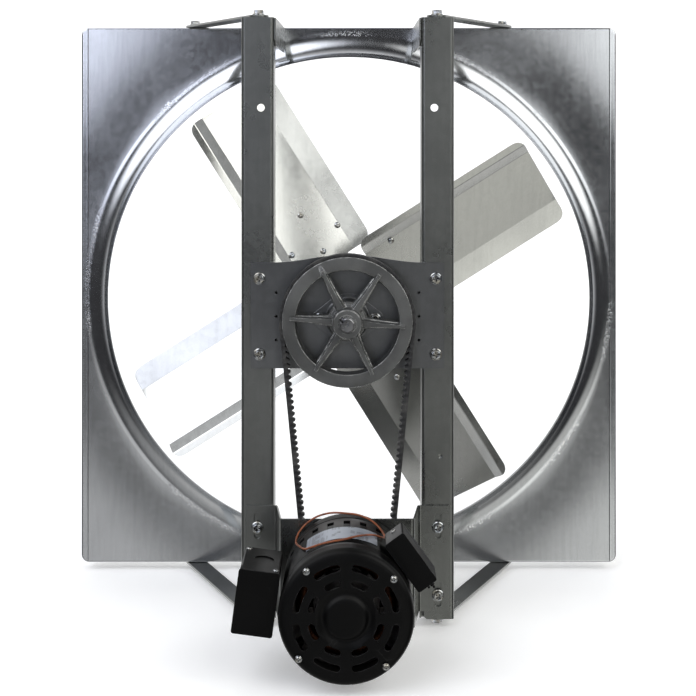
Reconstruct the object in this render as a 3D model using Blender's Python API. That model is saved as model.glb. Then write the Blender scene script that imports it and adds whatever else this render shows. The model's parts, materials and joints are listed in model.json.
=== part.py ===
"""Belt-drive propeller exhaust fan, 24 inch class, as an assembly of separate parts.

Metres, +Z up, +X to the right seen from the drive side, which faces -Y. Shapes are drawn
with the fan axis on Y and y = 0 at the front face of the orifice panel. Distances named
*_AT are measured from that face towards the drive side, so a point at AT has y = -AT.
At the end the whole fan is moved so that the origin is the middle of its outer box.
"""

import math

import bmesh
import bpy
from mathutils import Matrix, Vector

GAP = 0.0003  # left between neighbouring pieces

# Fasteners
SHANK_R = 0.0031
BOLT_HOLE_R = 0.0036
BOLT_SKIRT_R = 0.0073
BOLT_SKIRT = 0.0014
BOLT_HEAD_R = 0.0062
BOLT_HEAD = 0.0058

# Orifice panel
PANEL_SIDE = 0.701
PANEL_CORNER_R = 0.010
PANEL_SHEET = 0.0012
PANEL_FLANGE = 0.025
ROLL_OUTER_R = 0.345
THROAT_R = 0.312
ROLL_HEIGHT = 0.031
ROLL_STEPS = 5

# Drive frame
RAIL_X = 0.105
RAIL_WIDTH = 0.038
RAIL_DEPTH = 0.038
RAIL_SHEET = 0.002
RAIL_FRONT_AT = 0.224
RAIL_HALF = PANEL_SIDE / 2
RAIL_HOLE_X = 0.101
RAIL_HOLE_Z = 0.245
RAIL_HOLE_R = 0.0045
STRAP_WIDTH = 0.024
STRAP_THICK = 0.003
STRAP_FOOT_X = 0.2025
STRAP_FOOT_Y = 0.012
STRAP_HEAD_Y = -0.205
STANDOFF_TALL = 0.033
STANDOFF_THICK = 0.002

# Bearing plates and fan shaft
PLATE_HALF_X = 0.1125
PLATE_TOP = 0.065
PLATE_HUMP = 0.009
PLATE_BOTTOM = -0.058
PLATE_THICK = 0.003
PLATE_BOLT_X = 0.1025
PLATE_BOLT_ZS = (0.0465, -0.0415)
REAR_PLATE_HALF_Z = 0.042
SHAFT_R = 0.0079375
SHAFT_FRONT_AT = 0.285
SHAFT_BACK_AT = -0.030
BEARING_BORE = 0.017
BEARING_OUTER = 0.0215
LUG_X = 0.03175
FLANGETTE_HALF_Z = 0.0295
PLATE_SCREW_X = 0.083
PLATE_SCREW_ZS = (0.030, 0.0025, -0.025)
PLATE_SCREW_R = 0.0017
KEY_TURN = math.radians(45)  # turns the key from straight up to the upper left

# Pulleys and belt
BELT_AT = 0.253
BELT_TOP_WIDTH = 0.0127
BELT_THICK = 0.008
BELT_LOW_WIDTH = 0.0085
FAN_BELT_R = 0.078
MOTOR_BELT_R = 0.051
FAN_PULLEY_R = 0.0745
MOTOR_PULLEY_R = 0.0475
PULLEY_HALF_WIDTH = 0.010
FAN_RIM_INNER_R = 0.0585
FAN_HUB_R = 0.017
FAN_HUB_FRONT_AT = 0.279
SPOKES = 6
SPOKE_TURN = math.radians(-4)

# Propeller
BLADES = 4
BLADE_TURN = math.radians(32.2)
BLADE_SHEET = 0.0015
BLADE_ROOT = 0.048
BLADE_TIP = 0.297
BLADE_MID_AT = 0.012
# Strips of the folded blade from its leading to its trailing edge: width across the
# disc, and pitch from the disc's plane in degrees.
BLADE_STRIPS = ((0.0275, 8), (0.0755, 24), (0.011, 52), (0.0085, 20))
BLADE_LEADING_EDGE = -0.066
BLADE_CORNER_R = 0.014
SPIDER_SHEET = 0.003
RIVETS = ((0.0672, -0.003), (0.1227, -0.003), (0.0855, -0.036), (0.0855, 0.033))

# Motor and its bracket
MOTOR_Z = -0.278
WEB_AT = 0.285
BRACKET_SHEET = 0.002
BRACKET_TOP = -0.2175
BRACKET_BOTTOM = -0.3405
WEB_HALF_X = 0.075
WALL_FOOT_X = 0.0815
TAB_OUTER_X = 0.118
MOUNT_BOLT_X = 0.105
MOUNT_BOLT_ZS = (-0.243, -0.322)
SLOT_HALF_WIDTH = 0.00365
SLOT_ABOVE = 0.017
SLOT_BELOW = 0.013
SHELL_R = 0.0695
BELL_R = 0.0705
SHELL_WALL = 0.0016
MOTOR_FRONT_AT = 0.442
BELL_DEPTH = 0.024
TIE_BOLT_R = 0.0635
TIE_BOLT_ANGLES = (40, 130, 220, 310)
TIE_BOLT_SHANK_R = 0.0022
TIE_BOLT_HOLE_R = 0.0028
TIE_BOLT_HEAD_R = 0.0046
TIE_BOLT_HEAD = 0.0028
MOTOR_SHAFT_R = 0.00635
MOTOR_SHAFT_NEAR = 0.238
BEARING_HOUSING_R = 0.0145
INNER_VENT_R = 0.0365
OUTER_VENT_R = 0.0520
STATOR_SLOTS = 6
CORE_NEAR = 0.335
CORE_FAR = 0.390

# Boxes on the motor
BOX_WALL = 0.0014
JUNCTION_MIDDLE = (-0.0945, -0.271)
JUNCTION_SIZE = (0.042, 0.066)
JUNCTION_NEAR = 0.330
JUNCTION_FAR = 0.413
JUNCTION_LEAN = math.radians(7.5)
KNOCKOUT_R = 0.0105
KNOCKOUT_Y = -0.366
CAPACITOR_TURN = math.radians(36)
CAPACITOR_RADIAL = (0.0712, 0.0952)
CAPACITOR_HALF_LENGTH = 0.0305
CAPACITOR_NEAR = 0.372
CAPACITOR_FAR = 0.413
CAPACITOR_R = 0.0095

# Nameplate and lead
LABEL_NEAR = 0.353
LABEL_FAR = 0.396
LABEL_ANGLES = (62.5, 127.5)
LABEL_THICK = 0.0005
LEAD_R = 0.0015
LEAD_PATH_R = 0.0729
# The lead's loop from above, as (x, distance from the panel) in millimetres.
LEAD_SPOTS = ((-2, 307), (-22, 295), (-40, 289), (-53, 297), (-56, 325), (-51, 362), (-42, 398), (-24, 411),
              (-4, 411), (14, 392), (28, 374), (40, 362), (38, 340), (28, 320), (14, 311))

# Middle of the fan's depth, between the rear end of its shaft and the tie bolts' heads
ORIGIN_AT = (MOTOR_FRONT_AT + TIE_BOLT_HEAD + SHAFT_BACK_AT) / 2

COLOURS = {
    "galvanized": ((0.48, 0.50, 0.51), 0.38, 0.9),
    "dark_galvanized": ((0.33, 0.34, 0.34), 0.42, 0.9),
    "bright_sheet": ((0.72, 0.73, 0.72), 0.30, 0.95),
    "cast_zinc": ((0.36, 0.37, 0.38), 0.45, 0.85),
    "zinc_bolt": ((0.70, 0.72, 0.74), 0.25, 1.0),
    "ground_steel": ((0.60, 0.60, 0.60), 0.22, 1.0),
    "black_paint": ((0.02, 0.02, 0.022), 0.35, 0.1),
    "rubber": ((0.015, 0.015, 0.015), 0.75, 0.0),
    "label": ((0.75, 0.77, 0.80), 0.45, 0.0),
    "orange_lead": ((0.65, 0.17, 0.06), 0.45, 0.0),
    "lamination": ((0.25, 0.25, 0.26), 0.5, 0.8),
    "copper_winding": ((0.45, 0.13, 0.06), 0.4, 0.6),
    "bearing_bronze": ((0.50, 0.34, 0.16), 0.4, 0.9),
}


def clear_scene():
    for thing in list(bpy.data.objects):
        bpy.data.objects.remove(thing, do_unlink=True)


def material(name):
    found = bpy.data.materials.get(name)
    if found:
        return found
    made = bpy.data.materials.new(name)
    made.use_nodes = True
    colour, roughness, metallic = COLOURS[name]
    shader = made.node_tree.nodes["Principled BSDF"]
    shader.inputs["Base Color"].default_value = (*colour, 1)
    shader.inputs["Roughness"].default_value = roughness
    shader.inputs["Metallic"].default_value = metallic
    return made


def make(name, bm, look, parent=None, smooth=30):
    """Turns a closed bmesh into a named, shaded object under its parent's frame."""
    bmesh.ops.recalc_face_normals(bm, faces=bm.faces)
    mesh = bpy.data.meshes.new(name)
    bm.to_mesh(mesh)
    bm.free()
    obj = bpy.data.objects.new(name, mesh)
    bpy.context.scene.collection.objects.link(obj)
    mesh.shade_smooth()
    mesh.set_sharp_from_angle(angle=math.radians(smooth))
    mesh.materials.append(material(look))
    place(obj, parent)
    return obj


def world_place(parent):
    """Where an unrotated parent stands in the world."""
    if parent is None:
        return Vector()
    return parent.location + world_place(parent.parent)


def place(obj, parent):
    """Puts an object built in world places under a parent, so that it stays where it was built."""
    if parent is None:
        return
    offset = world_place(parent)
    for vertex in obj.data.vertices:
        vertex.co -= offset
    obj.parent = parent


def pivot(name, location, parent=None):
    empty = bpy.data.objects.new(name, None)
    empty.empty_display_size = 0.05
    bpy.context.scene.collection.objects.link(empty)
    empty.location = location
    empty.parent = parent
    return empty


def arc(centre, radius, start, end, steps):
    """Points of an arc in a plane, with both ends, angles in degrees."""
    points = []
    for i in range(steps + 1):
        angle = math.radians(start + (end - start) * i / steps)
        points.append((centre[0] + radius * math.cos(angle), centre[1] + radius * math.sin(angle)))
    return points


def circle(radius, steps, centre=(0, 0), turn=0):
    return arc(centre, radius, turn, turn + 360, steps)[:-1]


def rounded_rectangle(x0, x1, z0, z1, radius, steps=3):
    return (
        arc((x1 - radius, z1 - radius), radius, 0, 90, steps)
        + arc((x0 + radius, z1 - radius), radius, 90, 180, steps)
        + arc((x0 + radius, z0 + radius), radius, 180, 270, steps)
        + arc((x1 - radius, z0 + radius), radius, 270, 360, steps)
    )


def stadium(centre_x, low, high, half_width, steps=6):
    """Outline of an upright slot between two end heights."""
    return arc((centre_x, high - half_width), half_width, 0, 180, steps) + arc(
        (centre_x, low + half_width), half_width, 180, 360, steps
    )


def plate(outline, holes, near, far):
    """A flat plate in XZ with holes, from y = -far to y = -near."""
    bm = bmesh.new()
    edges = []
    for loop in [outline] + list(holes):
        corners = [bm.verts.new((x, -near, z)) for x, z in loop]
        for i, corner in enumerate(corners):
            edges.append(bm.edges.new((corner, corners[i - 1])))
    bmesh.ops.triangle_fill(bm, use_beauty=True, edges=edges, normal=(0, -1, 0))
    sides = bmesh.ops.extrude_face_region(bm, geom=bm.faces[:])
    moved = [item for item in sides["geom"] if isinstance(item, bmesh.types.BMVert)]
    bmesh.ops.translate(bm, vec=(0, near - far, 0), verts=moved)
    return bm


def prism(section, axis, low, high):
    """A closed section extruded along one axis. The section holds the two other axes in order."""
    bm = bmesh.new()
    ends = []
    for level in (low, high):
        ring = []
        for a, b in section:
            point = [a, b]
            point.insert("XYZ".index(axis), level)
            ring.append(bm.verts.new(point))
        ends.append(ring)
    for i in range(len(section)):
        bm.faces.new((ends[0][i - 1], ends[0][i], ends[1][i], ends[1][i - 1]))
    for ring in ends:
        bm.faces.new(ring)
    bmesh.ops.triangulate(bm, faces=[face for face in bm.faces if len(face.verts) > 4])
    return bm


def box(x0, x1, near, far, z0, z1):
    return prism([(x0, z0), (x1, z0), (x1, z1), (x0, z1)], "Y", -far, -near)


def folded(line, thickness):
    """Closed section of a bent sheet: its centre line with half the thickness on each side."""
    def side(sign):
        points = []
        for i, point in enumerate(line):
            here = Vector(point)
            before = (here - Vector(line[i - 1])).normalized() if i else None
            after = (Vector(line[i + 1]) - here).normalized() if i + 1 < len(line) else None
            before = before or after
            after = after or before
            normal = Vector((-before.y - after.y, before.x + after.x)).normalized()
            spread = normal.dot(Vector((-before.y, before.x)))
            points.append(tuple(here + normal * (sign * thickness / 2 / spread)))
        return points
    return side(1) + side(-1)[::-1]


def turned(profile, steps, centre=(0, 0), turn=0):
    """A closed profile of (radius, at) points spun round an axis along Y."""
    bm = bmesh.new()
    rings = []
    for radius, at in profile:
        if radius < 1e-6:
            rings.append([bm.verts.new((centre[0], -at, centre[1]))])
            continue
        ring = circle(radius, steps, centre, turn)
        rings.append([bm.verts.new((x, -at, z)) for x, z in ring])
    for i, ring in enumerate(rings):
        join_rings(bm, rings[i - 1], ring)
    return bm


def join_rings(bm, first, second):
    """Faces between two rings of points, of which either may be a single point."""
    if len(first) == 1 and len(second) == 1:
        return
    count = max(len(first), len(second))
    for i in range(count):
        corners = []
        for ring, index in ((first, i - 1), (first, i), (second, i), (second, i - 1)):
            corner = ring[0] if len(ring) == 1 else ring[index]
            if corner not in corners:
                corners.append(corner)
        bm.faces.new(corners)


def merged(shapes):
    """Shapes that don't touch each other, as the loose shells of one bmesh."""
    target = bmesh.new()
    for other in shapes:
        mesh = bpy.data.meshes.new("scratch")
        other.to_mesh(mesh)
        other.free()
        target.from_mesh(mesh)
        bpy.data.meshes.remove(mesh)
    return target


def helper(name, bm):
    """A hidden tool object for a Boolean."""
    bmesh.ops.triangulate(bm, faces=bm.faces)
    tool = make(name, bm, "ground_steel")
    tool.hide_render = True
    tool.display_type = "WIRE"
    return tool


def combine(obj, tools, operation):
    """Applies the tools to an object one after another, and removes them."""
    offset = world_place(obj.parent)
    for tool in tools:
        for vertex in tool.data.vertices:
            vertex.co -= offset
        tool.parent = obj.parent
        modifier = obj.modifiers.new(tool.name, "BOOLEAN")
        modifier.object = tool
        modifier.operation = operation
        modifier.solver = "EXACT"
    bpy.context.view_layer.update()
    graph = bpy.context.evaluated_depsgraph_get()
    solid = bpy.data.meshes.new_from_object(obj.evaluated_get(graph))
    obj.modifiers.clear()
    old = obj.data
    obj.data = solid
    solid.name = old.name
    bpy.data.meshes.remove(old)
    for tool in tools:
        bpy.data.objects.remove(tool, do_unlink=True)


def cut(obj, *shapes):
    combine(obj, [helper(f"cutter_{i}", shape) for i, shape in enumerate(shapes)], "DIFFERENCE")


def weld(obj, *shapes):
    combine(obj, [helper(f"joined_{i}", shape) for i, shape in enumerate(shapes)], "UNION")


def rod(radius, near, far, x=0, z=0, steps=16):
    """A solid round bar along Y."""
    return turned([(0, near), (radius, near), (radius, far), (0, far)], steps, (x, z))


def rod_along_z(radius, low, high, x, y, steps=12):
    return prism(circle(radius, steps, (x, y)), "Z", low, high)


def square_outline(half, radius, side_points, corner_points):
    """Points round a rounded square, anticlockwise from the middle of its +X side."""
    points = []
    for quarter in range(4):
        spin = Matrix.Rotation(math.radians(90 * quarter), 2)
        run = [(half, (i / side_points) * (half - radius)) for i in range(side_points)]
        run += arc((half - radius, half - radius), radius, 0, 90, corner_points)
        run += [((1 - i / side_points) * (half - radius), half) for i in range(1, side_points)]
        points += [tuple(spin @ Vector(point)) for point in run]
    return points


def orifice_panel():
    """Square sheet with a ring drawn towards the drive side and edges flanged back."""
    half = PANEL_SIDE / 2
    outline = square_outline(half, PANEL_CORNER_R, 7, 2)
    bm = bmesh.new()

    def ring_at(radius, at):
        ring = []
        for x, z in outline:
            scale = radius / math.hypot(x, z)
            ring.append(bm.verts.new((x * scale, -at, z * scale)))
        return ring

    def square_at(inset, at):
        scale = (half - inset) / half
        return [bm.verts.new((x * scale, -at, z * scale)) for x, z in outline]

    # The roll is a quarter ellipse, from the flat sheet up to the throat's lip.
    roll = [math.radians(90 * i / ROLL_STEPS) for i in range(ROLL_STEPS + 1)]
    width = ROLL_OUTER_R - THROAT_R
    front = [(ROLL_OUTER_R - width * math.sin(a), ROLL_HEIGHT * (1 - math.cos(a))) for a in roll]
    sheet = PANEL_SHEET
    back = [
        (ROLL_OUTER_R - (width + sheet) * math.sin(a), ROLL_HEIGHT - (ROLL_HEIGHT + sheet) * math.cos(a))
        for a in roll
    ]
    rings = [square_at(0, -PANEL_FLANGE), square_at(0, -0.0015), square_at(0.0015, 0)]
    rings += [ring_at(radius, at) for radius, at in front]
    rings += [ring_at(radius, at) for radius, at in reversed(back)]
    rings += [square_at(0.0020, -sheet), square_at(sheet, -0.0022), square_at(sheet, -PANEL_FLANGE)]
    for i, ring in enumerate(rings):
        join_rings(bm, rings[i - 1], ring)
    return make("orifice_panel", bm, "galvanized")


def rail(side):
    """Upright channel with its web to the drive side and its ends folded over."""
    name = "rail_left" if side < 0 else "rail_right"
    half = RAIL_WIDTH / 2
    web = RAIL_FRONT_AT - RAIL_SHEET / 2
    flange = half - RAIL_SHEET / 2
    middle = side * RAIL_X
    line = [
        (middle - flange, -(RAIL_FRONT_AT - RAIL_DEPTH)),
        (middle - flange, -web + 0.002),
        (middle - flange + 0.002, -web),
        (middle + flange - 0.002, -web),
        (middle + flange, -web + 0.002),
        (middle + flange, -(RAIL_FRONT_AT - RAIL_DEPTH)),
    ]
    obj = make(name, prism(folded(line, RAIL_SHEET), "Z", -RAIL_HALF, RAIL_HALF), "dark_galvanized")
    ends = []
    for end in (-1, 1):
        low, high = sorted((end * (RAIL_HALF - RAIL_SHEET), end * RAIL_HALF))
        # The folded end overlaps the web by half its sheet, so that the two are one piece.
        back, front = RAIL_FRONT_AT - RAIL_DEPTH, RAIL_FRONT_AT - RAIL_SHEET / 2
        ends.append(box(middle - flange, middle + flange, back, front, low, high))
    weld(obj, *ends)
    holes = [rod(RAIL_HOLE_R, 0.2, 0.24, side * RAIL_HOLE_X, RAIL_HOLE_Z)]
    bolt_places = [(side * PLATE_BOLT_X, z) for z in PLATE_BOLT_ZS]
    bolt_places += [(side * MOUNT_BOLT_X, z) for z in MOUNT_BOLT_ZS]
    holes += [rod(BOLT_HOLE_R, 0.2, 0.24, x, z, 12) for x, z in bolt_places]
    for end in (-RAIL_HALF, RAIL_HALF):
        holes.append(rod_along_z(BOLT_HOLE_R, end - 0.01, end + 0.01, side * RAIL_X, STRAP_HEAD_Y))
    cut(obj, merged(holes))
    return obj


def strap(side, level):
    """Flat diagonal bar from the panel's flange out to the end of a rail."""
    name = f"strap_{'upper' if level > 0 else 'lower'}_{'left' if side < 0 else 'right'}"
    foot = Vector((side * STRAP_FOOT_X, STRAP_FOOT_Y))
    head = Vector((side * RAIL_X, STRAP_HEAD_Y))
    along = (head - foot).normalized()
    heading = math.degrees(math.atan2(along.y, along.x))
    half = STRAP_WIDTH / 2
    outline = arc(head, half, heading - 90, heading + 90, 8)
    outline += arc(foot, half, heading + 90, heading + 270, 8)
    low = RAIL_HALF + GAP
    levels = sorted((level * low, level * (low + STRAP_THICK)))
    obj = make(name, prism(outline, "Z", *levels), "dark_galvanized")
    reach = (levels[0] - 0.01, levels[1] + 0.01)
    cut(obj, merged([rod_along_z(BOLT_HOLE_R, *reach, *spot) for spot in (head, foot)]))
    return obj


def standoff(side, level):
    """Upright plate that carries a rail's end from the panel, with a foot on the panel's rim."""
    name = f"standoff_{'upper' if level > 0 else 'lower'}_{'left' if side < 0 else 'right'}"
    outer = side * (RAIL_X - RAIL_WIDTH / 2 - GAP)
    inner = outer - side * STANDOFF_THICK
    top = RAIL_HALF - 0.0005
    low = top - STANDOFF_TALL
    foot_low = top - 0.011
    profile = [(-GAP, top), (-GAP, foot_low), (-0.012, low), (-0.214, low), (-0.221, low + 0.007),
               (-0.221, top)]
    profile = [(y, z * level) for y, z in profile]
    obj = make(name, prism(profile, "X", *sorted((inner, outer))), "dark_galvanized")
    foot_x = sorted((inner, outer + side * 0.018))
    foot_z = sorted((level * foot_low, level * top))
    weld(obj, box(*foot_x, GAP, GAP + STANDOFF_THICK, *foot_z))
    return obj


def bearing_plate(name, near, half_z, hump):
    """Cross plate between the rails, with a hole for the shaft and holes for its fasteners."""
    low, high = half_z
    reach = 0.088
    rise = []
    for x in (0.088, 0.070, 0.050, 0.030, 0.010):
        rise.append((x, high + hump * math.sin(math.pi * (reach - x) / (2 * reach)) ** 2))
    outline = [(PLATE_HALF_X, low), (PLATE_HALF_X, high)]
    if hump:
        outline += rise + [(-x, z) for x, z in reversed(rise)]
    outline += [(-PLATE_HALF_X, high), (-PLATE_HALF_X, low)]
    # Nuts behind the rails' webs need no hole in the rear plate, which the rails' flanges carry.
    holes = [circle(0.0150, 20)] + [circle(BOLT_HOLE_R, 10, (s * LUG_X, 0)) for s in (-1, 1)]
    if hump:
        for side in (-1, 1):
            holes += [circle(BOLT_HOLE_R, 10, (side * PLATE_BOLT_X, z)) for z in PLATE_BOLT_ZS]
            holes += [circle(PLATE_SCREW_R, 8, (side * PLATE_SCREW_X, z)) for z in PLATE_SCREW_ZS]
    return make(name, plate(outline, holes, near, near + PLATE_THICK), "dark_galvanized")


def bearing_housing(name, face_at, outward):
    """Pressed two-bolt flange that holds a ball bearing. Outward is +1 to the drive side."""
    lug = 0.010
    outline = []
    lean = math.degrees(math.acos((FLANGETTE_HALF_Z - lug) / LUG_X))
    for start in (0, 180):
        sign = 1 if start == 0 else -1
        outline += arc((sign * LUG_X, 0), lug, start - lean, start + lean, 5)
        outline += arc((0, 0), FLANGETTE_HALF_Z, start + lean, start + 180 - lean, 6)
    holes = [circle(BOLT_HOLE_R, 10, (s * LUG_X, 0)) for s in (-1, 1)]
    holes.append(circle(BEARING_OUTER - 0.002, 24))
    levels = sorted((face_at, face_at + outward * 0.003))
    obj = make(name, plate(outline, holes, *levels), "dark_galvanized")
    ring = [(BEARING_BORE, 0.001), (BEARING_BORE, 0.013), (BEARING_OUTER, 0.012), (0.0235, 0.008),
            (0.0245, 0.001)]
    weld(obj, turned([(radius, face_at + outward * at) for radius, at in ring], 24))
    return obj


def bearing_insert(name, near, far, collar_at, parent):
    """Inner ring of a ball bearing with its locking collar."""
    bore = SHAFT_R + GAP
    collar_low, collar_high = collar_at
    if collar_low > near:
        line = [(bore, near), (BEARING_BORE - GAP, near), (BEARING_BORE - GAP, collar_low - 0.001),
                (0.0145, collar_low), (0.0145, collar_high), (bore, collar_high)]
    else:
        line = [(bore, collar_low), (0.0145, collar_low), (0.0145, collar_high),
                (BEARING_BORE - GAP, collar_high + 0.001), (BEARING_BORE - GAP, far), (bore, far)]
    return make(name, turned(line, 24), "ground_steel", parent)


def fan_shaft(parent):
    chamfer = 0.001
    back, front = SHAFT_BACK_AT, SHAFT_FRONT_AT
    profile = [(0, back), (SHAFT_R - chamfer, back), (SHAFT_R, back + chamfer), (SHAFT_R, front - chamfer),
               (SHAFT_R - chamfer, front), (0, front)]
    obj = make("fan_shaft", turned(profile, 24), "ground_steel", parent)
    keyway = box(-0.0025, 0.0025, 0.246, 0.29, SHAFT_R - 0.0028, SHAFT_R + 0.01)
    bmesh.ops.rotate(keyway, verts=keyway.verts, matrix=Matrix.Rotation(-KEY_TURN, 3, "Y"))
    cut(obj, keyway)
    return obj


def pulley_key(parent):
    bm = box(-0.0022, 0.0022, 0.2463, 0.270, SHAFT_R - 0.0025, SHAFT_R + 0.0020)
    bmesh.ops.rotate(bm, verts=bm.verts, matrix=Matrix.Rotation(-KEY_TURN, 3, "Y"))
    return make("pulley_key", bm, "ground_steel", parent)


def groove(outer_r, belt_r):
    """Half profile of a V groove, as (radius, offset from the belt's middle) going forwards."""
    top = BELT_TOP_WIDTH / 2 + 0.0004
    floor_r = belt_r - BELT_THICK - 0.0025
    return [(outer_r, top), (floor_r, BELT_LOW_WIDTH / 2 - 0.0004)]


def fan_pulley(parent):
    """Cast pulley: grooved rim, hub and ribbed spokes."""
    front = BELT_AT + PULLEY_HALF_WIDTH
    back = BELT_AT - PULLEY_HALF_WIDTH
    (edge_r, edge), (floor_r, floor) = groove(FAN_PULLEY_R, FAN_BELT_R)
    rim = [(FAN_RIM_INNER_R, back + 0.002), (FAN_RIM_INNER_R + 0.002, back), (edge_r, back + 0.001),
           (edge_r, BELT_AT - edge), (floor_r, BELT_AT - floor), (floor_r, BELT_AT + floor),
           (edge_r, BELT_AT + edge), (edge_r, front - 0.001), (FAN_RIM_INNER_R + 0.003, front - 0.0005),
           (FAN_RIM_INNER_R, front - 0.004)]
    obj = make("fan_pulley", turned(rim, 40), "cast_zinc", parent)
    hub = turned([(SHAFT_R + GAP, 0.247), (FAN_HUB_R, 0.247), (FAN_HUB_R, FAN_HUB_FRONT_AT - 0.001),
                  (FAN_HUB_R - 0.001, FAN_HUB_FRONT_AT), (SHAFT_R + GAP, FAN_HUB_FRONT_AT)], 24)
    spokes = []
    for k in range(SPOKES):
        web = prism([(0.012, -0.0065), (0.0605, -0.0045), (0.0605, 0.0045), (0.012, 0.0065)],
                    "Y", -(BELT_AT + 0.001), -(BELT_AT - 0.004))
        rib_side = [(0.014, 0.250), (0.0605, 0.250), (0.0605, 0.2605), (0.014, 0.270)]
        rib = prism([(x, -at) for x, at in rib_side], "Z", -0.0022, 0.0022)
        for bar in (web, rib):
            turn = Matrix.Rotation(-(SPOKE_TURN + math.tau * k / SPOKES), 3, "Y")
            bmesh.ops.rotate(bar, verts=bar.verts, matrix=turn)
            spokes.append(bar)
    weld(obj, hub, *spokes)
    keyway = box(-0.0025, 0.0025, 0.24, 0.29, 0.004, SHAFT_R + 0.0024)
    bmesh.ops.rotate(keyway, verts=keyway.verts, matrix=Matrix.Rotation(-KEY_TURN, 3, "Y"))
    cut(obj, keyway)
    return obj


def motor_pulley(parent):
    front = BELT_AT + PULLEY_HALF_WIDTH
    back = BELT_AT - PULLEY_HALF_WIDTH
    (edge_r, edge), (floor_r, floor) = groove(MOTOR_PULLEY_R, MOTOR_BELT_R)
    bore = MOTOR_SHAFT_R + GAP
    hub_r = 0.013
    profile = [(bore, back - 0.006), (hub_r, back - 0.006), (hub_r, back + 0.004),
               (edge_r - 0.013, back + 0.004),
               (edge_r - 0.012, back), (edge_r, back + 0.001), (edge_r, BELT_AT - edge),
               (floor_r, BELT_AT - floor), (floor_r, BELT_AT + floor), (edge_r, BELT_AT + edge),
               (edge_r, front - 0.001), (edge_r - 0.012, front), (edge_r - 0.013, front - 0.004),
               (hub_r, front - 0.004), (hub_r, front + 0.004), (bore, front + 0.004)]
    return make("motor_pulley", turned(profile, 32, (0, MOTOR_Z)), "cast_zinc", parent)


def belt_run(radius_drop):
    """Outline of the belt at a depth below its back: two arcs joined by straight runs."""
    big = FAN_BELT_R - radius_drop
    small = MOTOR_BELT_R - radius_drop
    lean = math.degrees(math.asin((FAN_BELT_R - MOTOR_BELT_R) / -MOTOR_Z))
    return arc((0, 0), big, -lean, 180 + lean, 24) + arc((0, MOTOR_Z), small, 180 + lean, 360 - lean, 16)


def drive_belt():
    """V belt as a plain closed solid: four corners of its section carried round the run."""
    bm = bmesh.new()
    corners = [(0, -BELT_TOP_WIDTH / 2), (0, BELT_TOP_WIDTH / 2),
               (BELT_THICK, BELT_LOW_WIDTH / 2), (BELT_THICK, -BELT_LOW_WIDTH / 2)]
    rings = []
    for drop, across in corners:
        rings.append([bm.verts.new((x, -BELT_AT - across, z)) for x, z in belt_run(drop)])
    for i, ring in enumerate(rings):
        join_rings(bm, rings[i - 1], ring)
    return make("drive_belt", bm, "rubber")


def blade_section():
    """Centre line of the folded blade, as (across, at) from its leading to its trailing edge."""
    line = [(BLADE_LEADING_EDGE, 0.0)]
    for width, pitch in BLADE_STRIPS:
        across, at = line[-1]
        line.append((across + width, at + width * math.tan(math.radians(pitch))))
    # The wide strip's middle stands at the blade's stated place.
    middle = (line[1][1] + line[2][1]) / 2
    return [(across, at - middle + BLADE_MID_AT) for across, at in line]


def about_fan_axis(bm, angle):
    """Turns a shape built along +X, with its trailing side up, to its angle on the disc."""
    bmesh.ops.rotate(bm, verts=bm.verts, matrix=Matrix.Rotation(-angle, 3, "Y"))
    return bm


def blade(index, parent):
    """Folded sheet blade with rounded corners and four rivet holes."""
    angle = BLADE_TURN + math.tau * index / BLADES
    line = blade_section()
    section = [(y, z) for z, y in folded([(z, -at) for z, at in line], BLADE_SHEET)]
    strip = about_fan_axis(prism(section, "X", BLADE_ROOT - 0.001, BLADE_TIP + 0.001), angle)
    obj = make(f"blade_{index + 1}", strip, "bright_sheet", parent, 12)
    outline = rounded_rectangle(BLADE_ROOT, BLADE_TIP, line[0][0], line[-1][0], BLADE_CORNER_R, 4)
    face = about_fan_axis(prism(outline, "Y", -0.09, 0.06), angle)
    combine(obj, [helper("blade_outline", face)], "INTERSECT")
    cut(obj, merged([about_fan_axis(rod(0.0026, -0.06, 0.09, x, z, 10), angle) for x, z in RIVETS]))
    return obj


def blade_hub(parent):
    """Hub with four pitched arms, which lie behind the blades' wide strips."""
    pitch = math.radians(BLADE_STRIPS[1][1])
    behind = (BLADE_SHEET / 2 + GAP) / math.cos(pitch) + SPIDER_SHEET / 2
    bore = SHAFT_R + GAP
    hub = turned([(bore, -0.026), (0.019, -0.026), (0.022, -0.012), (0.030, -0.009), (0.030, -0.005),
                  (0.022, -0.002), (0.019, 0.030), (bore, 0.030)], 32)
    obj = make("blade_hub", hub, "cast_zinc", parent)
    pad = [(0.020, -0.016), (0.050, -0.030), (0.078, -0.047), (0.092, -0.047), (0.136, -0.010),
           (0.136, 0.006), (0.092, 0.044), (0.078, 0.044), (0.050, 0.028), (0.020, 0.014)]
    arms = []
    for k in range(BLADES):
        arm = prism(pad, "Y", -SPIDER_SHEET / 2, SPIDER_SHEET / 2)
        for vertex in arm.verts:
            vertex.co.y -= vertex.co.z * math.tan(pitch) + BLADE_MID_AT - behind
        arms.append(about_fan_axis(arm, BLADE_TURN + math.tau * k / BLADES))
    weld(obj, *arms)
    holes = []
    for k in range(BLADES):
        angle = BLADE_TURN + math.tau * k / BLADES
        holes += [about_fan_axis(rod(0.0026, -0.06, 0.09, x, z, 6), angle) for x, z in RIVETS]
    cut(obj, merged(holes))
    return obj


def hex_bolt(name, x, z, face_at, tail_at):
    """Hexagon bolt with a washer face, its head to the drive side."""
    shank = rod(SHANK_R, tail_at, face_at + BOLT_SKIRT, x, z, 10)
    obj = make(name, shank, "zinc_bolt")
    hexagon = circle(BOLT_HEAD_R, 6, (x, z), 30)
    head = prism(hexagon, "Y", -(face_at + BOLT_HEAD), -(face_at + BOLT_SKIRT / 2))
    skirt = rod(BOLT_SKIRT_R, face_at, face_at + BOLT_SKIRT, x, z, 20)
    weld(obj, skirt, head)
    return obj


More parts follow.
